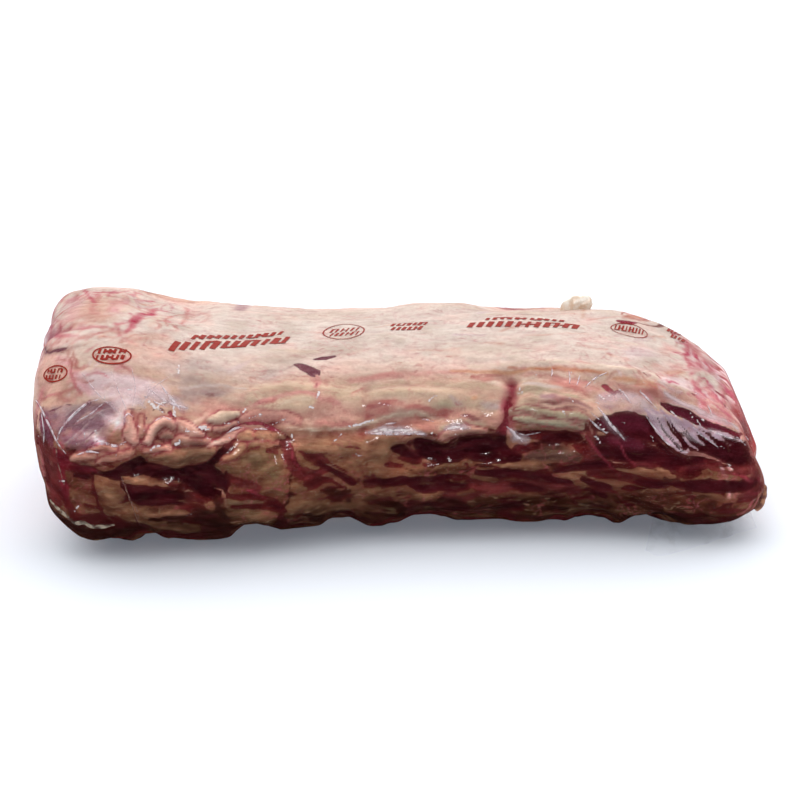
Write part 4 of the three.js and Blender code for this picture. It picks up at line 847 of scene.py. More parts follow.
def relief(along, round_, even):
    """The height of the solid's skin over the even form."""
    wrapped = wrap(round_)
    turn = 2 * math.pi * round_ / ROUND_LENGTH
    slow = np.sin(along / 23 + 1.4 * np.sin(3 * turn)) * np.sin(4 * turn + along / 61)
    quick = np.sin(along / 11 + 2 * np.sin(5 * turn)) * np.sin(9 * turn - along / 37)
    height = UNEVENNESS * (slow + 0.45 * quick) + beads(along, wrapped)
    for a, r, half_length, half_width, rise in SWELLS:
        out = np.hypot((along - a) / half_length, (wrapped - r) / half_width)
        height = height + rise * (1 - ease(0.45, 1.25, out))
    for a0, r0, a1, r1, half_width, rise in GROOVES:
        height = height + rise * bell(stretch_distance(along, wrapped, a0, r0, a1, r1)[0] / half_width)
    out = from_eye(even)
    seam = (out - 1) * EYE["half_height"] / EYE["seam_width"]
    face = EYE["height"] * (1 - ease(0.7, 1, out)) + EYE["seam"] * bell(seam)
    on_face = 1 - ease(0.6, 0.85, profile(along)[1])
    return height + (face - height) * on_face


def outward(along, round_, step=0.5):
    """The even form's unit normal, from differences along and round."""
    lengthwise = even_skin(along + step, round_) - even_skin(along - step, round_)
    crosswise = even_skin(along, round_ + step) - even_skin(along, round_ - step)
    normal = np.cross(lengthwise, crosswise)
    return normal / (np.linalg.norm(normal, axis=-1, keepdims=True) + 1e-12)


def steps(bands):
    """Even steps through bands of (from, to, step), without the last band's end."""
    return np.concatenate([np.linspace(lo, hi, max(2, round((hi - lo) / step)), endpoint=False)
                           for lo, hi, step in bands])


ALONG_STEPS = np.append(steps(ALONG_BANDS), RIGHT_MIDDLE - 1.0)
ROUND_STEPS = steps(ROUND_BANDS)
ALONG, ROUND = np.meshgrid(ALONG_STEPS, ROUND_STEPS, indexing="ij")
WRAPPED = wrap(ROUND)
EVEN = even_skin(ALONG, ROUND)
NORMAL = outward(ALONG, ROUND)
SOLID_RELIEF = relief(ALONG, ROUND, EVEN)


def on_grid(height, inside):
    """Points of the grid at a height over the even form, kept this far inside the solid's box."""
    lowest, highest = np.array(CAD_BOX) / MM + MIDDLE
    return np.clip(EVEN + NORMAL * height[..., None], lowest + inside, highest - inside)


def to_frame(points):
    """From the drawing's millimetres to the frame's metres."""
    return (points - MIDDLE) * MM


def new_piece(name, points, faces, smooth=True):
    """An object at the frame's origin, from points in the drawing's millimetres and their faces."""
    mesh = bpy.data.meshes.new(name)
    mesh.from_pydata(to_frame(points), [], faces)
    mesh.polygons.foreach_set("use_smooth", np.full(len(mesh.polygons), smooth))
    mesh.update()
    piece = bpy.data.objects.new(name, mesh)
    bpy.context.scene.collection.objects.link(piece)
    return piece


def ring_quads(n, m):
    """Quads between n closed rings of m points, which are numbered ring by ring."""
    i, j = np.meshgrid(np.arange(n - 1), np.arange(m), indexing="ij")
    k = (j + 1) % m
    return np.stack([i * m + j, (i + 1) * m + j, (i + 1) * m + k, i * m + k], axis=-1).reshape(-1, 4)


def closed_mesh(name, points, fields):
    """Rings of points joined by quads, and a fan to the middle of each cut face. Each field has a
    number or a colour for every point, and the middles get the mean of their ring."""
    n, m = points.shape[:2]
    middles = np.stack([points[0].mean(axis=0), points[-1].mean(axis=0)])
    j = np.arange(m)
    k = (j + 1) % m
    left = np.stack([np.full(m, n * m), j, k], axis=-1)
    right = np.stack([np.full(m, n * m + 1), (n - 1) * m + k, (n - 1) * m + j], axis=-1)
    piece = new_piece(name, np.concatenate([points.reshape(-1, 3), middles]),
                      ring_quads(n, m).tolist() + left.tolist() + right.tolist())
    for field, values in fields.items():
        width = values.shape[-1] if values.ndim == 3 else 1
        flat = values.reshape(-1, width)
        flat = np.concatenate([flat, [flat[:m].mean(axis=0)], [flat[-m:].mean(axis=0)]])
        if width == 1:
            piece.data.attributes.new(field, "FLOAT", "POINT").data.foreach_set("value", flat.ravel())
        else:
            colour = np.concatenate([flat, np.ones((len(flat), 1))], axis=1)
            kept = piece.data.attributes.new(field, "FLOAT_COLOR", "POINT")
            kept.data.foreach_set("color", colour.ravel())
    return piece


# ---- Lines and fields on the skin ----------------------------------------------------------------
def curve(path, parts=4):
    """A Catmull-Rom curve through the rows of a path, with this many parts between neighbours."""
    p = np.array(path, float)
    p = np.concatenate([2 * p[:1] - p[1:2], p, 2 * p[-1:] - p[-2:-1]])
    t = np.linspace(0, 1, parts, endpoint=False)[:, None, None]
    a, b, c, d = p[:-3], p[1:-2], p[2:-1], p[3:]
    q = (b + t * (c - a) / 2 + t * t * (a - 2.5 * b + 2 * c - d / 2)
         + t ** 3 * (1.5 * (b - c) + (d - a) / 2))
    q = q.transpose(1, 0, 2).reshape(-1, p.shape[1])
    q[:, 2] = np.maximum(q[:, 2], 0.1)
    return np.concatenate([q, p[-2:-1]])


def sample(grid, along, round_):
    """The grid's value at a place, blended between the four nearest points."""
    i, j = (np.clip(np.interp(value, at, np.arange(len(at))), 0, len(at) - 1.001)
            for value, at in ((along, ALONG_STEPS), (round_, ROUND_STEPS)))
    i0, j0 = i.astype(int), j.astype(int)
    u, v = i - i0, j - j0
    near = grid[i0, j0] * (1 - v) + grid[i0, j0 + 1] * v
    far = grid[i0 + 1, j0] * (1 - v) + grid[i0 + 1, j0 + 1] * v
    return near * (1 - u) + far * u


def blurred(grid, times=1):
    """Each point becomes the mean of itself and its neighbours, with weights 1 2 1 both ways."""
    for _ in range(times):
        wide = np.concatenate([grid[:1], grid, grid[-1:]])
        grid = (wide[:-2] + 2 * wide[1:-1] + wide[2:]) / 4
        grid = (np.roll(grid, 1, axis=1) + 2 * grid + np.roll(grid, -1, axis=1)) / 4
    return grid


WANDER_ALONG = 1.4 * cloud(EVEN, 9, 21) + 0.55 * cloud(EVEN, 3.2, 22)
WANDER_ROUND = 1.1 * cloud(EVEN, 20, 25) + 0.9 * cloud(EVEN, 9, 23) + 0.45 * cloud(EVEN, 3.2, 24)
FOLDED = TOP_ROUND - np.abs(WRAPPED - TOP_ROUND)       # round, with the back counted like the front
SHARE = profile(ALONG)[1]
ON_FACE = 1 - ease(0.72, 0.9, SHARE)


def reach(path, soft, wander=1.0):
    """The part of the grid that a stroke touches, each point's distance outside the stroke's
    edge, and the stroke's half width beside it. Noise moves the points, so edges wander."""
    line = curve(path)
    margin = soft + line[:, 2].max() + 3
    i, j = (slice(*np.searchsorted(at, (line[:, k].min() - margin, line[:, k].max() + margin)))
            for k, at in enumerate((ALONG_STEPS, ROUND_STEPS)))
    a = ALONG[i, j] + WANDER_ALONG[i, j] * wander
    r = ROUND[i, j] + WANDER_ROUND[i, j] * wander
    distance = np.full(a.shape, 99.0)
    half = np.ones(a.shape)
    for (a0, r0, w0), (a1, r1, w1) in zip(line, line[1:]):
        away, t = stretch_distance(a, r, a0, r0, a1, r1)
        width = w0 + (w1 - w0) * t
        nearer = away - width < distance
        distance = np.where(nearer, away - width, distance)
        half = np.where(nearer, width, half)
    return (i, j), distance, half


def brush(path, soft, grow=0.0):
    """The part of the grid that a stroke touches, and how far from 0 to 1 it covers it there."""
    window, distance, _ = reach(path, soft)
    return window, 1 - ease(-soft, soft, distance - grow)


def scattered():
    """Streaks of fat and lean between the painted ones; they run mostly along the body."""
    pick = np.random.default_rng(7)
    strokes = []
    for left, right, bottom, top, count, size, turn, names in STREAK_ZONES:
        tints = names.split()
        for _ in range(count):
            tint = tints[pick.integers(len(tints))]
            a, r = pick.uniform(left, right), pick.uniform(bottom, top)
            angle = turn + pick.normal(0, 0.3)
            length = size * pick.uniform(0.5, 1.6)
            offsets, bend = np.linspace(-1, 1, 4) * length, pick.uniform(-0.12, 0.12, 4) * length
            widths = size * 0.14 * pick.uniform(0.2, 1.2, 4)
            cos, sin = math.cos(angle), math.sin(angle)
            path = [(a + s * cos - b * sin, r + s * sin + b * cos, w)
                    for s, b, w in zip(offsets, bend, widths)]
            strokes.append((tint, 0.5 + 0.08 * size, pick.uniform(0.45, 0.95), path))
    return strokes


def scattered_glints():
    """Short glints where the bag is drawn tight: they slope down to the right at the right end."""
    pick = np.random.default_rng(11)
    strokes = []
    for left, right, bottom, top, count, slope in GLINT_ZONES:
        for _ in range(count):
            a, r = pick.uniform(left, right), pick.uniform(bottom, top)
            turn = slope + pick.normal(0, 0.35)
            length, width = pick.uniform(0.8, 4.5), pick.uniform(0.1, 0.55)
            da, dr = length * math.cos(turn), length * math.sin(turn)
            strokes.append(((a - da, r - dr, 0.1), (a, r, width), (a + da, r + dr, 0.1)))
    return strokes


# ---- Painting the meat ---------------------------------------------------------------------------
EVERYWHERE = (slice(None), slice(None))
LOW_SIDE = 1 - ease(12, 30, FOLDED)
LENGTHWISE = EVEN * (0.4, 1, 1)
PATCHES = clouds(EVEN, 16, 31)
BROKEN = np.clip(0.92 + 0.6 * clouds(EVEN * (0.6, 1, 1), 5, 57), 0.3, 1.15)

# Under the body the grid's cells are wide, so the streaks there are wide too.
WIDE_CELLS = (ease(SEAM_ROUND - 10, SEAM_ROUND + 6, ROUND)
              * (1 - ease(ROUND_LENGTH - 60, ROUND_LENGTH - 50, ROUND)))
THIN_STREAKS = clouds(LENGTHWISE, 6.5, 41)
STREAKS = THIN_STREAKS + (clouds(LENGTHWISE, 30, 43, 2) - THIN_STREAKS) * WIDE_CELLS
FINE = clouds(LENGTHWISE, 3, 51, 2) * (1 - WIDE_CELLS)


class Layers:
    """Colours of the pale layer and of the dark layer over it, how far the dark one covers, and
    how far the tints raise or sink the surface."""

    def __init__(self):
        heights, colours = zip(*SIDE_COLOURS)
        colours = np.array(colours, float)
        self.pale = np.stack([np.interp(FOLDED, heights, colours[:, c]) for c in range(3)], axis=-1)
        self.dark = self.pale * (0.5, 0.3, 0.3)
        self.cover = np.zeros(ALONG.shape)
        self.rise = np.zeros(ALONG.shape)

    def lay(self, tint, share, window=EVERYWHERE, thick=1.0):
        """Mixes a tint into its layer. A dark one adds cover, and a pale one takes it off."""
        colour = np.array(TINTS[tint])
        if tint in DARK_TINTS:
            covered = self.cover[window].copy()
            full = np.maximum(share, 1e-3) / np.maximum(share + covered * (1 - share), 1e-3)
            self.dark[window] += (colour - self.dark[window]) * full[..., None]
            self.cover[window] += (1 - covered) * share
        else:
            self.pale[window] += (colour - self.pale[window]) * share[..., None]
            self.cover[window] *= 1 - share
        self.rise[window] += share * TINT_RISE.get(tint, 0) * thick


def lay_ground(layers):
    """Tints that follow noise and relief: streaks low on the side, patches of fat higher up, cream on the
    crests as a painted highlight, and rose in the pits for gathered juice and as painted shade.
    """
    pits = blurred(SOLID_RELIEF, 14) - SOLID_RELIEF
    layers.lay("tan", ease(0.15, 0.55, STREAKS) * LOW_SIDE * 0.5)
    layers.lay("maroon", ease(0.0, -0.5, STREAKS) * LOW_SIDE * 0.85)
    layers.lay("blush", ease(0.2, 0.9, PATCHES) * (1 - LOW_SIDE) * 0.2)
    layers.lay("ivory", ease(-0.1, -0.8, PATCHES) * (1 - LOW_SIDE) * 0.35)
    # Painted highlight in cream on the crests; rose in the pits is gathered juice and painted shade.
    layers.lay("cream", ease(0.1, 0.9, -pits) * (1 - LOW_SIDE) * 0.4)
    layers.lay("rose", ease(0.25, 0.9, pits) * (1 - LOW_SIDE * 0.5) * 0.35)


def lay_strokes(layers):
    """Scattered streaks, then the drawn ones. Noise breaks up the pale, and wide dark ones grow."""
    for tint, soft, strength, *paths in scattered() + PAINT:
        dark = tint in DARK_TINTS
        for path in paths:
            widest = max(width for _, _, width in path)
            window, share = brush(path, soft, 0.5 if dark and widest > 1.2 else 0.0)
            share = np.minimum(share * strength * (1.0 if dark else BROKEN[window]), 1)
            layers.lay(tint, share, window, min(1.0, widest / 2))


def lay_lobes(layers):
    """Rolled lobules with round backs, each over the ones before it, with a dark red line of painted shade
    in the crevice round each; returns their swelling.
    """
    swelling = np.zeros(ALONG.shape)
    lumpy = clouds(EVEN, 5, 59, 2)
    for tint, height, *paths in LOBES:
        for path in paths:
            window, distance, half = reach(path, 1.5, 0.9)
            distance = distance + 0.45 * lumpy[window]
            inside = 1 - ease(-0.5, 0.5, distance)
            back = np.clip(1 - (1 + distance / half) ** 2, 0, 1) ** 0.7 * inside
            bulge = height * (1 + 0.4 * lumpy[window]) * (back - 0.25 * inside)
            swelling[window] = swelling[window] * (1 - 0.7 * inside) + bulge
            # Painted shade: a dark red line in the crevice round the lobule.
            crevice = bell(distance / 0.8) * np.clip(BROKEN[window] - 0.3, 0, 1) * 0.75
            layers.lay("stain", crevice, window, 0.0)
            layers.lay(tint, inside * (0.3 + 0.65 * back), window, 0.0)
    return swelling


def painted():
    """The finished layers, darker towards the ground with painted shade low down on the side, and the
    swelling of the lobules.
    """
    layers = Layers()
    lay_ground(layers)
    lay_strokes(layers)
    swelling = lay_lobes(layers)
    shade = 1 + 0.05 * PATCHES + (0.04 + 0.1 * LOW_SIDE) * FINE + 0.12 * LOW_SIDE * STREAKS
    deep = (1 - ease(2, 22, FOLDED))[..., None]
    # Painted shade: the lowest part of the side darkens towards the ground.
    under = (ease(-6, -34, FOLDED) * 0.4)[..., None]
    layers.pale = layers.pale * shade[..., None] * (1 - deep * (0.07, 0.11, 0.13)) * (1 - under)
    layers.dark = layers.dark * shade[..., None] * (1 - deep * (0.1, 0.18, 0.17)) * (1 - under)
    layers.pale, layers.marbled = cut_faces(layers.pale)
    layers.cover = layers.cover * (1 - ON_FACE)
    return layers, swelling


def cut_faces(seen):
    """Both ends: the round eye, a seam of fat, the cap muscle and the lip; and where marbling lies."""
    z = EVEN[..., 2] - EYE["z"]
    out = from_eye(EVEN) + 0.1 * clouds(EVEN, 22, 61)
    face = np.ones(seen.shape) * TINTS["ivory"]

    def lay(tint, share):
        nonlocal face
        face = face + (np.array(TINTS[tint]) - face) * share[..., None]

    lay("rose", (1 - ease(1.24, 1.5, out)) * ease(-10, 6, z) * 0.7)
    lay("beef", (1 - ease(1.22, 1.38, out)) * ease(-8, 6, z))
    lay("blush", ease(0.1, 0.7, clouds(EVEN, 9, 71)) * 0.4)
    lay("shell", 1 - ease(1.06, 1.18, out))
    lay("beef", 1 - ease(0.93, 1.03, out))
    lay("wine", (1 - ease(0.9, 1, out)) * ease(-0.2, 0.8, clouds(EVEN, 14, 81)) * 0.6)
    rim = ease(0.4, 0.7, SHARE)
    torn = clouds(EVEN * (1, 1, 0.3), 6, 75, 2)
    lay("petal", ease(0, 0.4, -torn) * rim * ease(44, 70, FOLDED))
    lay("cerise", ease(0.05, 0.45, torn) * rim * ease(44, 70, FOLDED) * 0.85)
    lay("wine", ease(0.5, 0.78, SHARE) * (1 - ease(8, 46, FOLDED)) * 0.8)
    return seen + (face - seen) * ON_FACE[..., None], (1 - ease(0.86, 0.98, out)) * ON_FACE


def bare(seen, round_, dark=False):
    """The bare surface's linear colour, from how it looks at this height under the film: the
    film's sheen is taken off, and the rest is divided by the light that falls there."""
    sheen = 0.004 + 0.004 * ease(16, 24, round_) + 0.066 * ease(50, 92, round_)
    if dark:
        sheen = 0.4 * sheen
    light = 0.74 + 0.29 * ease(22, 46, round_) + 0.15 * ease(50, 85, round_)
    light = light * (1 - 0.06 * ease(-2, -24, round_)) * (1 - 0.75 * ease(-24, -48, round_))
    return np.clip((linear(seen) - sheen[..., None]) / light[..., None], 0.002, 0.92)


def linear(seen):
    """Display colours, 0 to 255, as linear light."""
    c = np.clip(seen, 0, 255) / 255
    return np.where(c <= 0.04045, c / 12.92, ((c + 0.055) / 1.055) ** 2.4)


# ---- Strips that follow the film -----------------------------------------------------------------
def strip_rings(path, height, lift, thick, across):
    """Rings of a thin strip: across its top from edge to edge, and back along its underside."""
    line = curve(path, 5)
    middle, width = line[:, :2], line[:, 2]
    way = np.gradient(middle, axis=0)
    way /= np.linalg.norm(way, axis=1, keepdims=True) + 1e-9
    side = np.stack([-way[:, 1], way[:, 0]], axis=1)
    u = np.linspace(-1, 1, across + 1)
    u = np.concatenate([u, u[-2:0:-1]])
    top = np.arange(len(u)) <= across
    place = middle[:, None, :] + side[:, None, :] * (u[None, :, None] * width[:, None, None])
    a, r = place[..., 0], place[..., 1]
    rise = np.where(top, lift + height * (1 - u * u), lift - thick) * np.ones_like(a)
    rise[:, [0, across]] = lift - thick / 2
    at_film = sample(FILM_HEIGHT, a, r) + rise
    return even_skin(a, r) + outward(a, r) * at_film[..., None]


def strips(name, paths, height, lift=0.05, thick=0.12, across=2, smooth=True):
    """One mesh of closed strips; each path is a run of (along, round, half width)."""
    vertices, faces, start = [], [], 0
    for path in paths:
        rings = strip_rings(path, height, lift, thick, across)
        n, m = rings.shape[:2]
        faces += (ring_quads(n, m) + start).tolist()
        stop = start + n * m
        faces += [list(range(start, start + m)), list(range(stop - 1, stop - m - 1, -1))]
        vertices.append(rings.reshape(-1, 3))
        start = stop
    return new_piece(name, np.concatenate(vertices), faces, smooth)


# ---- Materials -----------------------------------------------------------------------------------
class Value:
    """Wraps a socket so that shader maths reads as an expression."""

    def __init__(self, tree, socket):
        self.tree, self.socket = tree, socket

    def maths(self, operation, *others, **settings):
        node = self.tree.nodes.new("ShaderNodeMath")
        node.operation = operation
        for name, value in settings.items():
            setattr(node, name, value)
        for i, operand in enumerate((self, *others)):
            put(self.tree, node.inputs[i], operand)
        return Value(self.tree, node.outputs[0])

    def __add__(self, other):
        return self.maths("ADD", other)

    def __mul__(self, other):
        return self.maths("MULTIPLY", other)

    def __sub__(self, other):
        return self.maths("SUBTRACT", other)

    def __rsub__(self, other):
        return (self * -1.0) + other

    __radd__ = __add__
    __rmul__ = __mul__


def put(tree, socket, value):
    """Links a Value to a socket, or sets a plain number, colour or vector on it."""
    if isinstance(value, Value):
        tree.links.new(value.socket, socket)
    else:
        socket.default_value = value


class Finish:
    """A material under construction: node() adds any node, and the rest are shorthands for it."""

    def __init__(self, name):
        self.material = bpy.data.materials.new(name)
        self.material.use_nodes = True
        self.tree = self.material.node_tree
        self.tree.nodes.clear()
        self.place = self.node("ShaderNodeTexCoord", output="Object")

    def node(self, kind, settings=(), output=0, **sockets):
        node = self.tree.nodes.new(kind)
        for name, value in dict(settings).items():
            setattr(node, name, value)
        for name, value in sockets.items():
            put(self.tree, node.inputs[int(name[1:]) if name[0] == "_" else name.replace("_", " ")], value)
        return Value(self.tree, node.outputs[output])

    def field(self, name):
        return self.node("ShaderNodeAttribute", {"attribute_name": name}, output="Fac")

    def noise(self, mm, detail=2.0, stretch=(1, 1, 1), place=None):
        scale = tuple(s / (mm * MM) for s in stretch)
        moved = self.node("ShaderNodeMapping", Vector=place or self.place, Scale=scale)
        return self.node("ShaderNodeTexNoise", output="Fac", Vector=moved, Scale=1.0, Detail=detail)

    def swirled(self, mm, push):
        """Places pushed about by noise of this size, so that what is drawn there curls."""
        moved = self.node("ShaderNodeMapping", Vector=self.place, Scale=(1 / (mm * MM),) * 3)
        curl = self.node("ShaderNodeTexNoise", output="Color", Vector=moved, Scale=1.0, Detail=2.0)
        return self.node("ShaderNodeVectorMath", {"operation": "MULTIPLY_ADD"}, _0=curl,
                         _1=(push * MM,) * 3, _2=self.place)

    def between(self, value, start, stop, low=0.0, high=1.0):
        return self.node("ShaderNodeMapRange", {"interpolation_type": "SMOOTHSTEP"}, Value=value,
                         From_Min=start, From_Max=stop, To_Min=low, To_Max=high)

    def mix(self, share, first, second, blend="MIX"):
        return self.node("ShaderNodeMix", {"data_type": "RGBA", "blend_type": blend}, output=2,
                         Factor=share, _6=first, _7=second)

    def principled(self, specular, **sockets):
        shader = self.node("ShaderNodeBsdfPrincipled", **sockets)
        shader.socket.node.inputs["Specular IOR Level"].default_value = specular
        return shader

    def done(self, shader):
        end = self.tree.nodes.new("ShaderNodeOutputMaterial")
        self.tree.links.new(shader.socket, end.inputs["Surface"])
        return self.material


def rgb(red, green, blue):
    """A display colour, 0 to 255, as a linear one."""
    return tuple(c / 12.92 if c <= 0.04045 else ((c + 0.055) / 1.055) ** 2.4
                 for c in (red / 255, green / 255, blue / 255)) + (1.0,)


def meat_material():
    """The pale and the dark layer, parted along a ragged edge. Over them lie mottling and grain
    that redden as they darken, flecks of blood and of fat, thin veins, and fibres in the lean."""
    f = Finish("meat and fat")
    pale = f.node("ShaderNodeAttribute", {"attribute_name": "pale"}, output="Color")
    dark = f.node("ShaderNodeAttribute", {"attribute_name": "dark"}, output="Color")
    streaky = f.field("streaky")
    swirled = f.swirled(12, 9)
    streaks = f.noise(1.7, 3.0, (0.2, 1, 1)) - 0.5
    ragged = (f.noise(3.0, 4.0, (0.5, 1, 1)) - 0.5) * 0.9
    cover = f.field("cover") * 1.25 + ragged + streaks * streaky * 0.9
    edge = f.between(cover, 0.32, 0.66) * 0.75 + f.field("cover") * 0.25
    colour = f.mix(edge, pale, dark)

    mottle = (f.noise(7, 5.0, (0.6, 1, 1), swirled) - 0.5) * (streaky * 0.9 + 0.25)
    grain = (f.noise(1.3, 4.0) - 0.5) * (edge * 0.8 + 0.35) + streaks * (streaky * 1.0 + 0.08)
    change = mottle + grain
    red, other = change * 0.8 + 1.0, change * 1.25 + 1.0
    colour = f.mix(1.0, colour, f.node("ShaderNodeCombineColor", _0=red, _1=other, _2=other),
                   "MULTIPLY")

    patches = f.between(f.noise(28, 2.0), 0.45, 0.6)
    fat = f.between(f.noise(2.4, 5.0, (0.35, 1, 1), swirled), 0.57, 0.68) * streaky * 0.55
    colour = f.mix(fat * (1.0 - edge * 0.85), colour, (0.24, 0.135, 0.08, 1))
    blood = f.between(f.noise(3.6, 6.0, (0.6, 1, 1), swirled), 0.57, 0.68)
    blood = blood * (patches * 0.35 + streaky * 0.1)
    colour = f.mix(blood * (1.0 - edge), colour, (0.34, 0.06, 0.07, 1))
    vein = f.between((f.noise(13, 4.0, place=swirled) - 0.5).maths("ABSOLUTE"), 0.0, 0.014, 0.45, 0.0)
    colour = f.mix(vein * (1.0 - edge) * (patches * 0.6 + 0.1), colour, (0.5, 0.11, 0.14, 1))
    swells = f.noise(9, 5.0, place=f.swirled(20, 14))
    islands = f.between(swells + (f.noise(1.8, 3.0) - 0.5) * 0.12, 0.565, 0.64, 0.0, 0.75)
    threads = f.between((swells - 0.5).maths("ABSOLUTE"), 0.0, 0.016, 0.5, 0.0)
    colour = f.mix(islands.maths("MAXIMUM", threads) * f.field("marbled"), colour, (0.62, 0.37, 0.31, 1))
    fibre = f.between(f.noise(1.2, 4.0, (0.14, 1, 1)), 0.5, 0.72) * edge * 0.5
    colour = f.mix(fibre, colour, (0.075, 0.014, 0.02, 1))
    bump = f.node("ShaderNodeBump", Strength=0.8, Distance=0.9 * MM,
                  Height=f.noise(2.4, 5.0, (0.6, 1, 1)) + mottle * 0.5 - edge * 0.6)
    return f.done(f.principled(0.0, Base_Color=colour, Roughness=0.5, Normal=bump))


def film_shader(f, haze_and_highlight, cloudy):
    """Clear where the whitening and painted highlights are 0; gloss grows towards the edges of the form.
    """
    wrinkles = f.noise(7, 3.0, (0.5, 1, 1)) + f.noise(2.2, 2.0) * 0.25
    bump = f.node("ShaderNodeBump", Strength=0.55, Distance=1.0 * MM, Height=wrinkles)
    clear = f.node("ShaderNodeBsdfTransparent", Color=(1, 1, 1, 1))
    white = f.node("ShaderNodeBsdfDiffuse", Color=cloudy, Normal=bump)
    gloss = f.node("ShaderNodeBsdfGlossy", Roughness=0.1, Normal=bump)
    fresnel = f.node("ShaderNodeFresnel", IOR=1.45, Normal=bump)
    body = f.node("ShaderNodeMixShader", _0=haze_and_highlight, _1=clear, _2=white)
    shine = ((fresnel - 0.042) * 0.6).maths("MAXIMUM", 0.0).maths("MINIMUM", 0.078)
    share = shine * f.field("sheen") + 0.002
    return f.done(f.node("ShaderNodeMixShader", _0=share, _1=body, _2=gloss))


def film_material():
    """Whitened film and painted highlights that follow their fields; a painted glint is whiter than the
    whitening round it.
    """
    f = Finish("clear film")
    patchy = f.between(f.noise(3.5, 3.0), 0.3, 0.62, 0.7, 1.1)
    haze_and_highlight = (f.field("haze_and_highlight") * patchy).maths("MINIMUM", 0.9)
    glint = f.between(f.field("glint") + (f.noise(1.6, 3.0) - 0.5) * 1.4, 0.42, 0.66, 0.0, 0.75)
    colour = f.mix(glint, (0.74, 0.6, 0.63, 1), (1, 0.95, 0.95, 1))
    return film_shader(f, haze_and_highlight.maths("MAXIMUM", glint), colour)


def crease_material(name, colour):
    """Whitened film, broken into dashes by noise; on the creases the white stands for a painted highlight
    along the fold.
    """
    f = Finish(name)
    broken = f.between(f.noise(3.5, 3.0), 0.35, 0.65, 0.05, 0.62)
    clear = f.node("ShaderNodeBsdfTransparent")
    white = f.node("ShaderNodeBsdfDiffuse", Color=colour)
    return f.done(f.node("ShaderNodeMixShader", _0=broken, _1=clear, _2=white))


def loose_film_material():
    """Film with nothing behind it: all but invisible between patches of cloud."""
    f = Finish("loose film")
    alpha = f.between(f.noise(14, 4.0, (1, 0.6, 1), f.swirled(20, 12)), 0.42, 0.72, 0.02, 0.15)
    shader = f.node("ShaderNodeBsdfPrincipled", Base_Color=(0.8, 0.82, 0.86, 1), Roughness=0.15,
                    Alpha=alpha)
    return f.done(shader)


def ink_material():
    """Ink that is worn paler in patches."""
    f = Finish("brick red ink")
    worn = f.between(f.noise(2.5, 4.0), 0.42, 0.7, 0.0, 0.5)
    colour = f.mix(worn, rgb(142, 30, 18), rgb(160, 58, 44))
    return f.done(f.principled(0.1, Base_Color=colour, Roughness=0.5))


def lump_material(name, first, second):
    """Two colours that run into each other under a thin gloss."""
    f = Finish(name)
    share = f.between(f.noise(4, 5.0), 0.38, 0.64)
    bump = f.node("ShaderNodeBump", Strength=0.6, Distance=0.8 * MM, Height=f.noise(3, 4.0))
    colour = f.mix(share, first, second)
    return f.done(f.principled(0.3, Base_Color=colour, Roughness=0.35, Normal=bump))


# ---- Pieces --------------------------------------------------------------------------------------
def dress(piece, material, replaces=None):
    """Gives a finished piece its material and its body."""
    piece.data.materials.append(material)
    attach(piece, BODY)
    if replaces:
        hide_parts(replaces)


def sheet(name, point_at, thickness, steps_u, steps_v):
    """A thin sheet: the grid point_at(u, v), the same grid raised, and a wall round the edge."""
    u, v = np.meshgrid(np.linspace(0, 1, steps_u + 1), np.linspace(0, 1, steps_v + 1), indexing="ij")
    low = point_at(u, v)
    points = np.concatenate([(low + thickness).reshape(-1, 3), low.reshape(-1, 3)])
    number = np.arange(u.size).reshape(u.shape)
    top = np.stack([number[:-1, :-1], number[1:, :-1], number[1:, 1:], number[:-1, 1:]], -1).reshape(-1, 4)
    edge = np.concatenate([number[:-1, 0], number[-1, :-1], number[:0:-1, -1], number[0, :0:-1]])
    after = np.roll(edge, -1)
    wall = np.stack([edge + u.size, after + u.size, after, edge], -1)
    faces = np.concatenate([top, top[:, ::-1] + u.size, wall])
    middle = points.mean(axis=0)
    quads = points[faces]
    across = np.cross(quads[:, 2] - quads[:, 0], quads[:, 3] - quads[:, 1])
    if np.einsum("ij,ij->", across, quads.mean(axis=1) - middle) < 0:
        faces = faces[:, ::-1]
    return new_piece(name, points, faces.tolist())


def printed_paths():
    """Bars that lean with their row, and rings, in the order along, round, half width."""
    paths = []
    for along, round_, run, climb, height, pitch, width in PRINTED_ROWS:
        pick = np.random.default_rng(int(abs(along) * 7 + round_))
        for at in np.arange(0, run, pitch):
            a, r = along + at, round_ + climb * at / run
            w = width * pick.uniform(0.75, 1.35)
            low, high = r - height / 2, r + height / 2
            lean = 0.12 * height
            paths.append(((a - lean, low, w), (a, r, w), (a + lean, high, w)))
            if pick.random() < 0.55 and at + pitch < run:
                level = pick.choice([low + 0.1 * height, r, high - 0.1 * height])
                next_level = level + climb * pitch / run
                paths.append(((a, level, width * 0.8), (a + pitch, next_level, width * 0.8)))
    for along, round_, half_length, half_height in PRINTED_RINGS:
        turn = np.linspace(0, 2 * math.pi, 25)
        paths.append([(along + half_length * math.cos(t), round_ + half_height * math.sin(t), RING_WIDTH)
                      for t in turn])
    return paths


def meat_surface(layers, swelling):
    """The solid's relief with the lobules, the tints' rise and fine lumps, held under the film."""
    lumps = 0.4 * clouds(EVEN * (0.6, 1, 1), 9, 91) + 0.12 * clouds(EVEN, 2.6, 95, 2)
    lip = BEAD_SHARE * beads(ALONG, WRAPPED)
    height = (SOLID_RELIEF - lip - INSET + swelling
              + (0.6 * blurred(layers.rise) + lumps) * (1 - 0.7 * ON_FACE))
    return np.minimum(height, SOLID_RELIEF - FILM_GAP + 1.5 * ease(0, 0.5, swelling))


def film_surface(meat_height):
    """The film stands off the meat by its gap and bridges the hollows."""
    height = meat_height + FILM_GAP
    for _ in range(5):
        height = np.maximum(height, blurred(height, 2))
    return blurred(height)


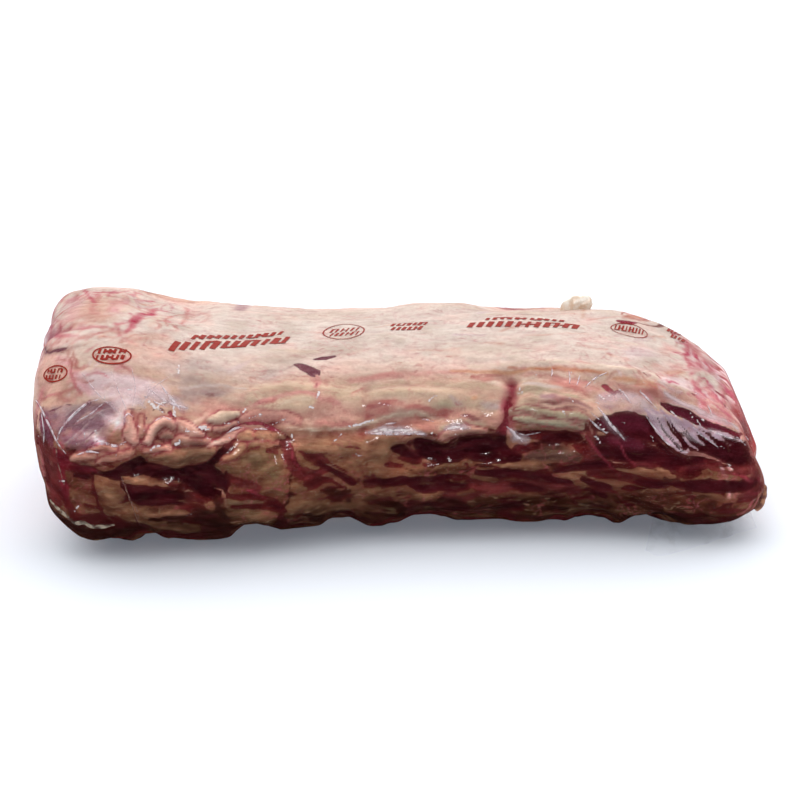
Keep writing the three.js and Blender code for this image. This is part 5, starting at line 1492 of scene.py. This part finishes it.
def build_meat(layers, height):
    """Painted shade and light on the colours: they darken and redden in hollows, lighten a little on
    crests, and darken where the surface turns away from the light from above.
    """
    hollow = np.clip((blurred(height, 2) - height) / 0.35, -1, 1)[..., None]
    pale = layers.pale * (1 - np.maximum(hollow, 0) * (0.16, 0.32, 0.28) + np.maximum(-hollow, 0) * 0.05)
    # Painted light: darker where the surface tilts down, away from the light from above, lighter where it
    # tilts up.
    upwards = np.where(WRAPPED > TOP_ROUND, -1, 1)
    climb = np.gradient(blurred(height), axis=1) / np.gradient(ROUND, axis=1) * upwards
    turned = 0.45 * np.clip(climb, -0.6, 0.7) * (1 - 0.7 * ease(18, 34, FOLDED))
    painted_light = (1 - turned * (1 - ease(50, 80, FOLDED)) * (1 - ON_FACE))[..., None]
    lit_round = FOLDED + (30 - FOLDED) * ON_FACE
    fields = {"pale": bare(pale * painted_light, lit_round), "dark": bare(layers.dark * painted_light, lit_round, dark=True),
              "cover": layers.cover, "marbled": layers.marbled, "streaky": 1 - ease(14, 36, FOLDED)}
    meat = closed_mesh("meat", on_grid(height, 0.5), fields)
    dress(meat, meat_material(), SOLID)


def build_film(cover):
    """The film's whitening and painted highlights come from their strokes; over dark lean and low down the
    film shines less.
    """
    haze_and_highlight, glint = np.zeros(ALONG.shape), np.zeros(ALONG.shape)
    for soft, strength, *paths in HAZE_AND_HIGHLIGHTS:
        for path in paths:
            window, share = brush(path, soft)
            haze_and_highlight[window] = np.maximum(haze_and_highlight[window], share * strength)
    for path in GLINTS + scattered_glints():
        window, share = brush(path, 1.0)
        glint[window] = np.maximum(glint[window], share)
    sheen = (0.15 + 0.85 * ease(8, 46, FOLDED)) * (1 - 0.7 * blurred(cover, 3))
    film = closed_mesh("film", on_grid(FILM_HEIGHT, 0.0), {"haze_and_highlight": haze_and_highlight, "glint": glint, "sheen": sheen})
    dress(film, film_material())


def build_creases():
    """Raised folds of the film, as strips that stand on it; the creases are white as painted highlights,
    and those low on the side are painted dimmer for the shade there.
    """
    for name, paths, height, across, finish, colour in (
            ("creases", CREASES, 0.35, 2, "film creases", (0.95, 0.84, 0.88, 1)),
            ("low_creases", LOW_CREASES, 0.35, 2, "creases in shade", rgb(178, 132, 118)),
            ("gathered_seal", SEAL, 0.5, 4, "seal", rgb(196, 180, 160))):
        dress(strips(name, paths, height, across=across), crease_material(finish, colour))


def build_print():
    ink = strips("print", printed_paths(), height=0.0, lift=0.04, thick=0.03, smooth=False)
    ink.visible_shadow = False
    dress(ink, ink_material())


# The cut edge of the bag's loose end, on the ground in front of the right end, in x and y.
TAIL_EDGE = curve([(140, -86, 0), (148, -93, 0), (172, -80, 0), (190, -68, 0), (208, -56, 0)], 12)[:, :2]


def tail_point(u, v):
    """From a root under the belly out to the cut edge, with a shallow ripple and small folds."""
    root = np.stack([150 + 56 * u, np.full_like(u, -40.0)], -1)
    at = u * (len(TAIL_EDGE) - 1)
    edge = np.stack([np.interp(at, np.arange(len(TAIL_EDGE)), TAIL_EDGE[:, c]) for c in (0, 1)], -1)
    flat = root + (edge - root) * v[..., None]
    ripple = np.sin(u * 17) * np.sin(v * 5 + u * 4)
    folds = 0.25 * np.abs(clouds(np.stack([flat[..., 0], flat[..., 1], 0 * u], -1), 9, 101))
    z = 6 * (1 - v) ** 2 + 0.9 * v * ripple * ripple + folds + 0.1
    return np.concatenate([flat, z[..., None]], -1)


def knob(name, middle, radii, lean, salt):
    """A lumpy closed ball: a grid of points round and down an ellipsoid, pushed out by noise, each
    row moved sideways by lean times its height. The rows at the poles shrink to single points."""
    turn, fall = np.meshgrid(np.linspace(0, 2 * math.pi, 49)[:-1], np.linspace(0, math.pi, 26)[1:-1],
                             indexing="ij")
    way = np.stack([np.cos(turn) * np.sin(fall), np.sin(turn) * np.sin(fall), np.cos(fall)], -1)
    way = np.concatenate([way.reshape(-1, 3), [[0, 0, 1], [0, 0, -1]]])
    points = way * np.array(radii) * (1 + 0.3 * clouds(way * np.array(radii), 6, salt, 2))[:, None]
    points[:, 0] += lean * points[:, 2]
    n, m = turn.shape
    i, j = np.meshgrid(np.arange(n), np.arange(m - 1), indexing="ij")
    k = (i + 1) % n
    quads = np.stack([i * m + j, i * m + j + 1, k * m + j + 1, k * m + j], -1).reshape(-1, 4).tolist()
    first = np.arange(n) * m
    after = np.roll(first, -1)
    caps = np.stack([first, after, np.full(n, n * m)], -1).tolist()
    caps += np.stack([first + m - 1, np.full(n, n * m + 1), after + m - 1], -1).tolist()
    return new_piece(name, points + np.array(middle), quads + caps)


def build_loose_ends():
    """The flat loose end of the bag, its pinched corner and the tuft at the back of the top."""
    dress(sheet("tail", tail_point, (0, 0, 0.3), 70, 50), loose_film_material())
    dress(knob("ear", (208, -59, 22), (4.6, 3, 9), 0.1, 111),
          lump_material("dried corner", rgb(172, 112, 74), rgb(104, 48, 34)))
    dress(knob("pucker", (108, 46.5, 99.5), (8.5, 3.4, 7.6), 0.25, 113),
          lump_material("tuft of fat", rgb(255, 248, 236), rgb(236, 210, 184)))


# ---- Floor, light and camera ---------------------------------------------------------------------
FLOOR_HALF = 12.0            # metres
SOFTBOX_SIZE = 0.12
SOFTBOXES = [(-0.05, -0.95, 0.68, 20.0), (0.8, -0.7, 0.62, 20.0)]       # x, y, z, watts
EYE_LEVEL, EYE_DISTANCE = math.radians(22), 1300.0
LOOKED_AT = np.array([0, 0, 58.0])


def floor():
    """A pale matt floor with a faint cool glow."""
    mesh = bpy.data.meshes.new("floor")
    size = FLOOR_HALF
    corners = [(-size, -size, 0), (size, -size, 0), (size, size, 0), (-size, size, 0)]
    mesh.from_pydata(corners, [], [(0, 1, 2, 3)])
    ground = bpy.data.objects.new("floor", mesh)
    bpy.context.scene.collection.objects.link(ground)
    f = Finish("pale floor")
    shader = f.principled(0.0, Base_Color=(0.8, 0.83, 0.88, 1), Roughness=1.0,
                          Emission_Color=(0.8, 0.9, 1.05, 1), Emission_Strength=0.15)
    mesh.materials.append(f.done(shader))


def room():
    """A soft white room: bright overhead and a little behind, dim towards the horizon."""
    world = bpy.data.worlds.new("studio")
    bpy.context.scene.world = world
    world.use_nodes = True
    tree = world.node_tree
    way = Value(tree, tree.nodes.new("ShaderNodeTexCoord").outputs["Generated"])
    height = tree.nodes.new("ShaderNodeVectorMath")
    height.operation = "DOT_PRODUCT"
    put(tree, height.inputs[0], way)
    put(tree, height.inputs[1], Vector((0.0, 0.35, 0.94)))
    ramp = tree.nodes.new("ShaderNodeMapRange")
    ramp.interpolation_type = "SMOOTHSTEP"
    put(tree, ramp.inputs["Value"], Value(tree, height.outputs["Value"]))
    for name, value in (("From Min", 0.1), ("From Max", 0.95), ("To Min", 0.15), ("To Max", 2.0)):
        put(tree, ramp.inputs[name], value)
    put(tree, tree.nodes["Background"].inputs["Color"], (1, 1, 1, 1))
    put(tree, tree.nodes["Background"].inputs["Strength"], Value(tree, ramp.outputs[0]))


def softboxes():
    """Small lights in front, for the film's highlights alone."""
    for i, (x, y, z, energy) in enumerate(SOFTBOXES):
        lamp = bpy.data.lights.new(f"softbox_{i}", "AREA")
        lamp.size, lamp.energy = SOFTBOX_SIZE, energy
        box = bpy.data.objects.new(f"softbox_{i}", lamp)
        bpy.context.scene.collection.objects.link(box)
        box.visible_diffuse = False
        box.location = (x, y, z)
        box.rotation_euler = (-box.location).to_track_quat("-Z", "Y").to_euler()


def camera():
    """In front of the roast and a little above it."""
    data = bpy.data.cameras.new("camera")
    data.lens, data.sensor_width = 98.0, 36.0
    eye = bpy.data.objects.new("camera", data)
    bpy.context.scene.collection.objects.link(eye)
    place = LOOKED_AT + EYE_DISTANCE * np.array([0, -math.cos(EYE_LEVEL), math.sin(EYE_LEVEL)])
    eye.location = to_frame(place)
    eye.rotation_euler = (Vector(to_frame(LOOKED_AT)) - eye.location).to_track_quat("-Z", "Y").to_euler()
    bpy.context.scene.camera = eye


LAYERS, SWELLING = painted()
MEAT_HEIGHT = meat_surface(LAYERS, SWELLING)
FILM_HEIGHT = film_surface(MEAT_HEIGHT)
build_meat(LAYERS, MEAT_HEIGHT)
build_film(LAYERS.cover)
build_creases()
build_print()
build_loose_ends()
floor()
room()
softboxes()
camera()
bpy.context.scene.view_settings.view_transform = "Standard"
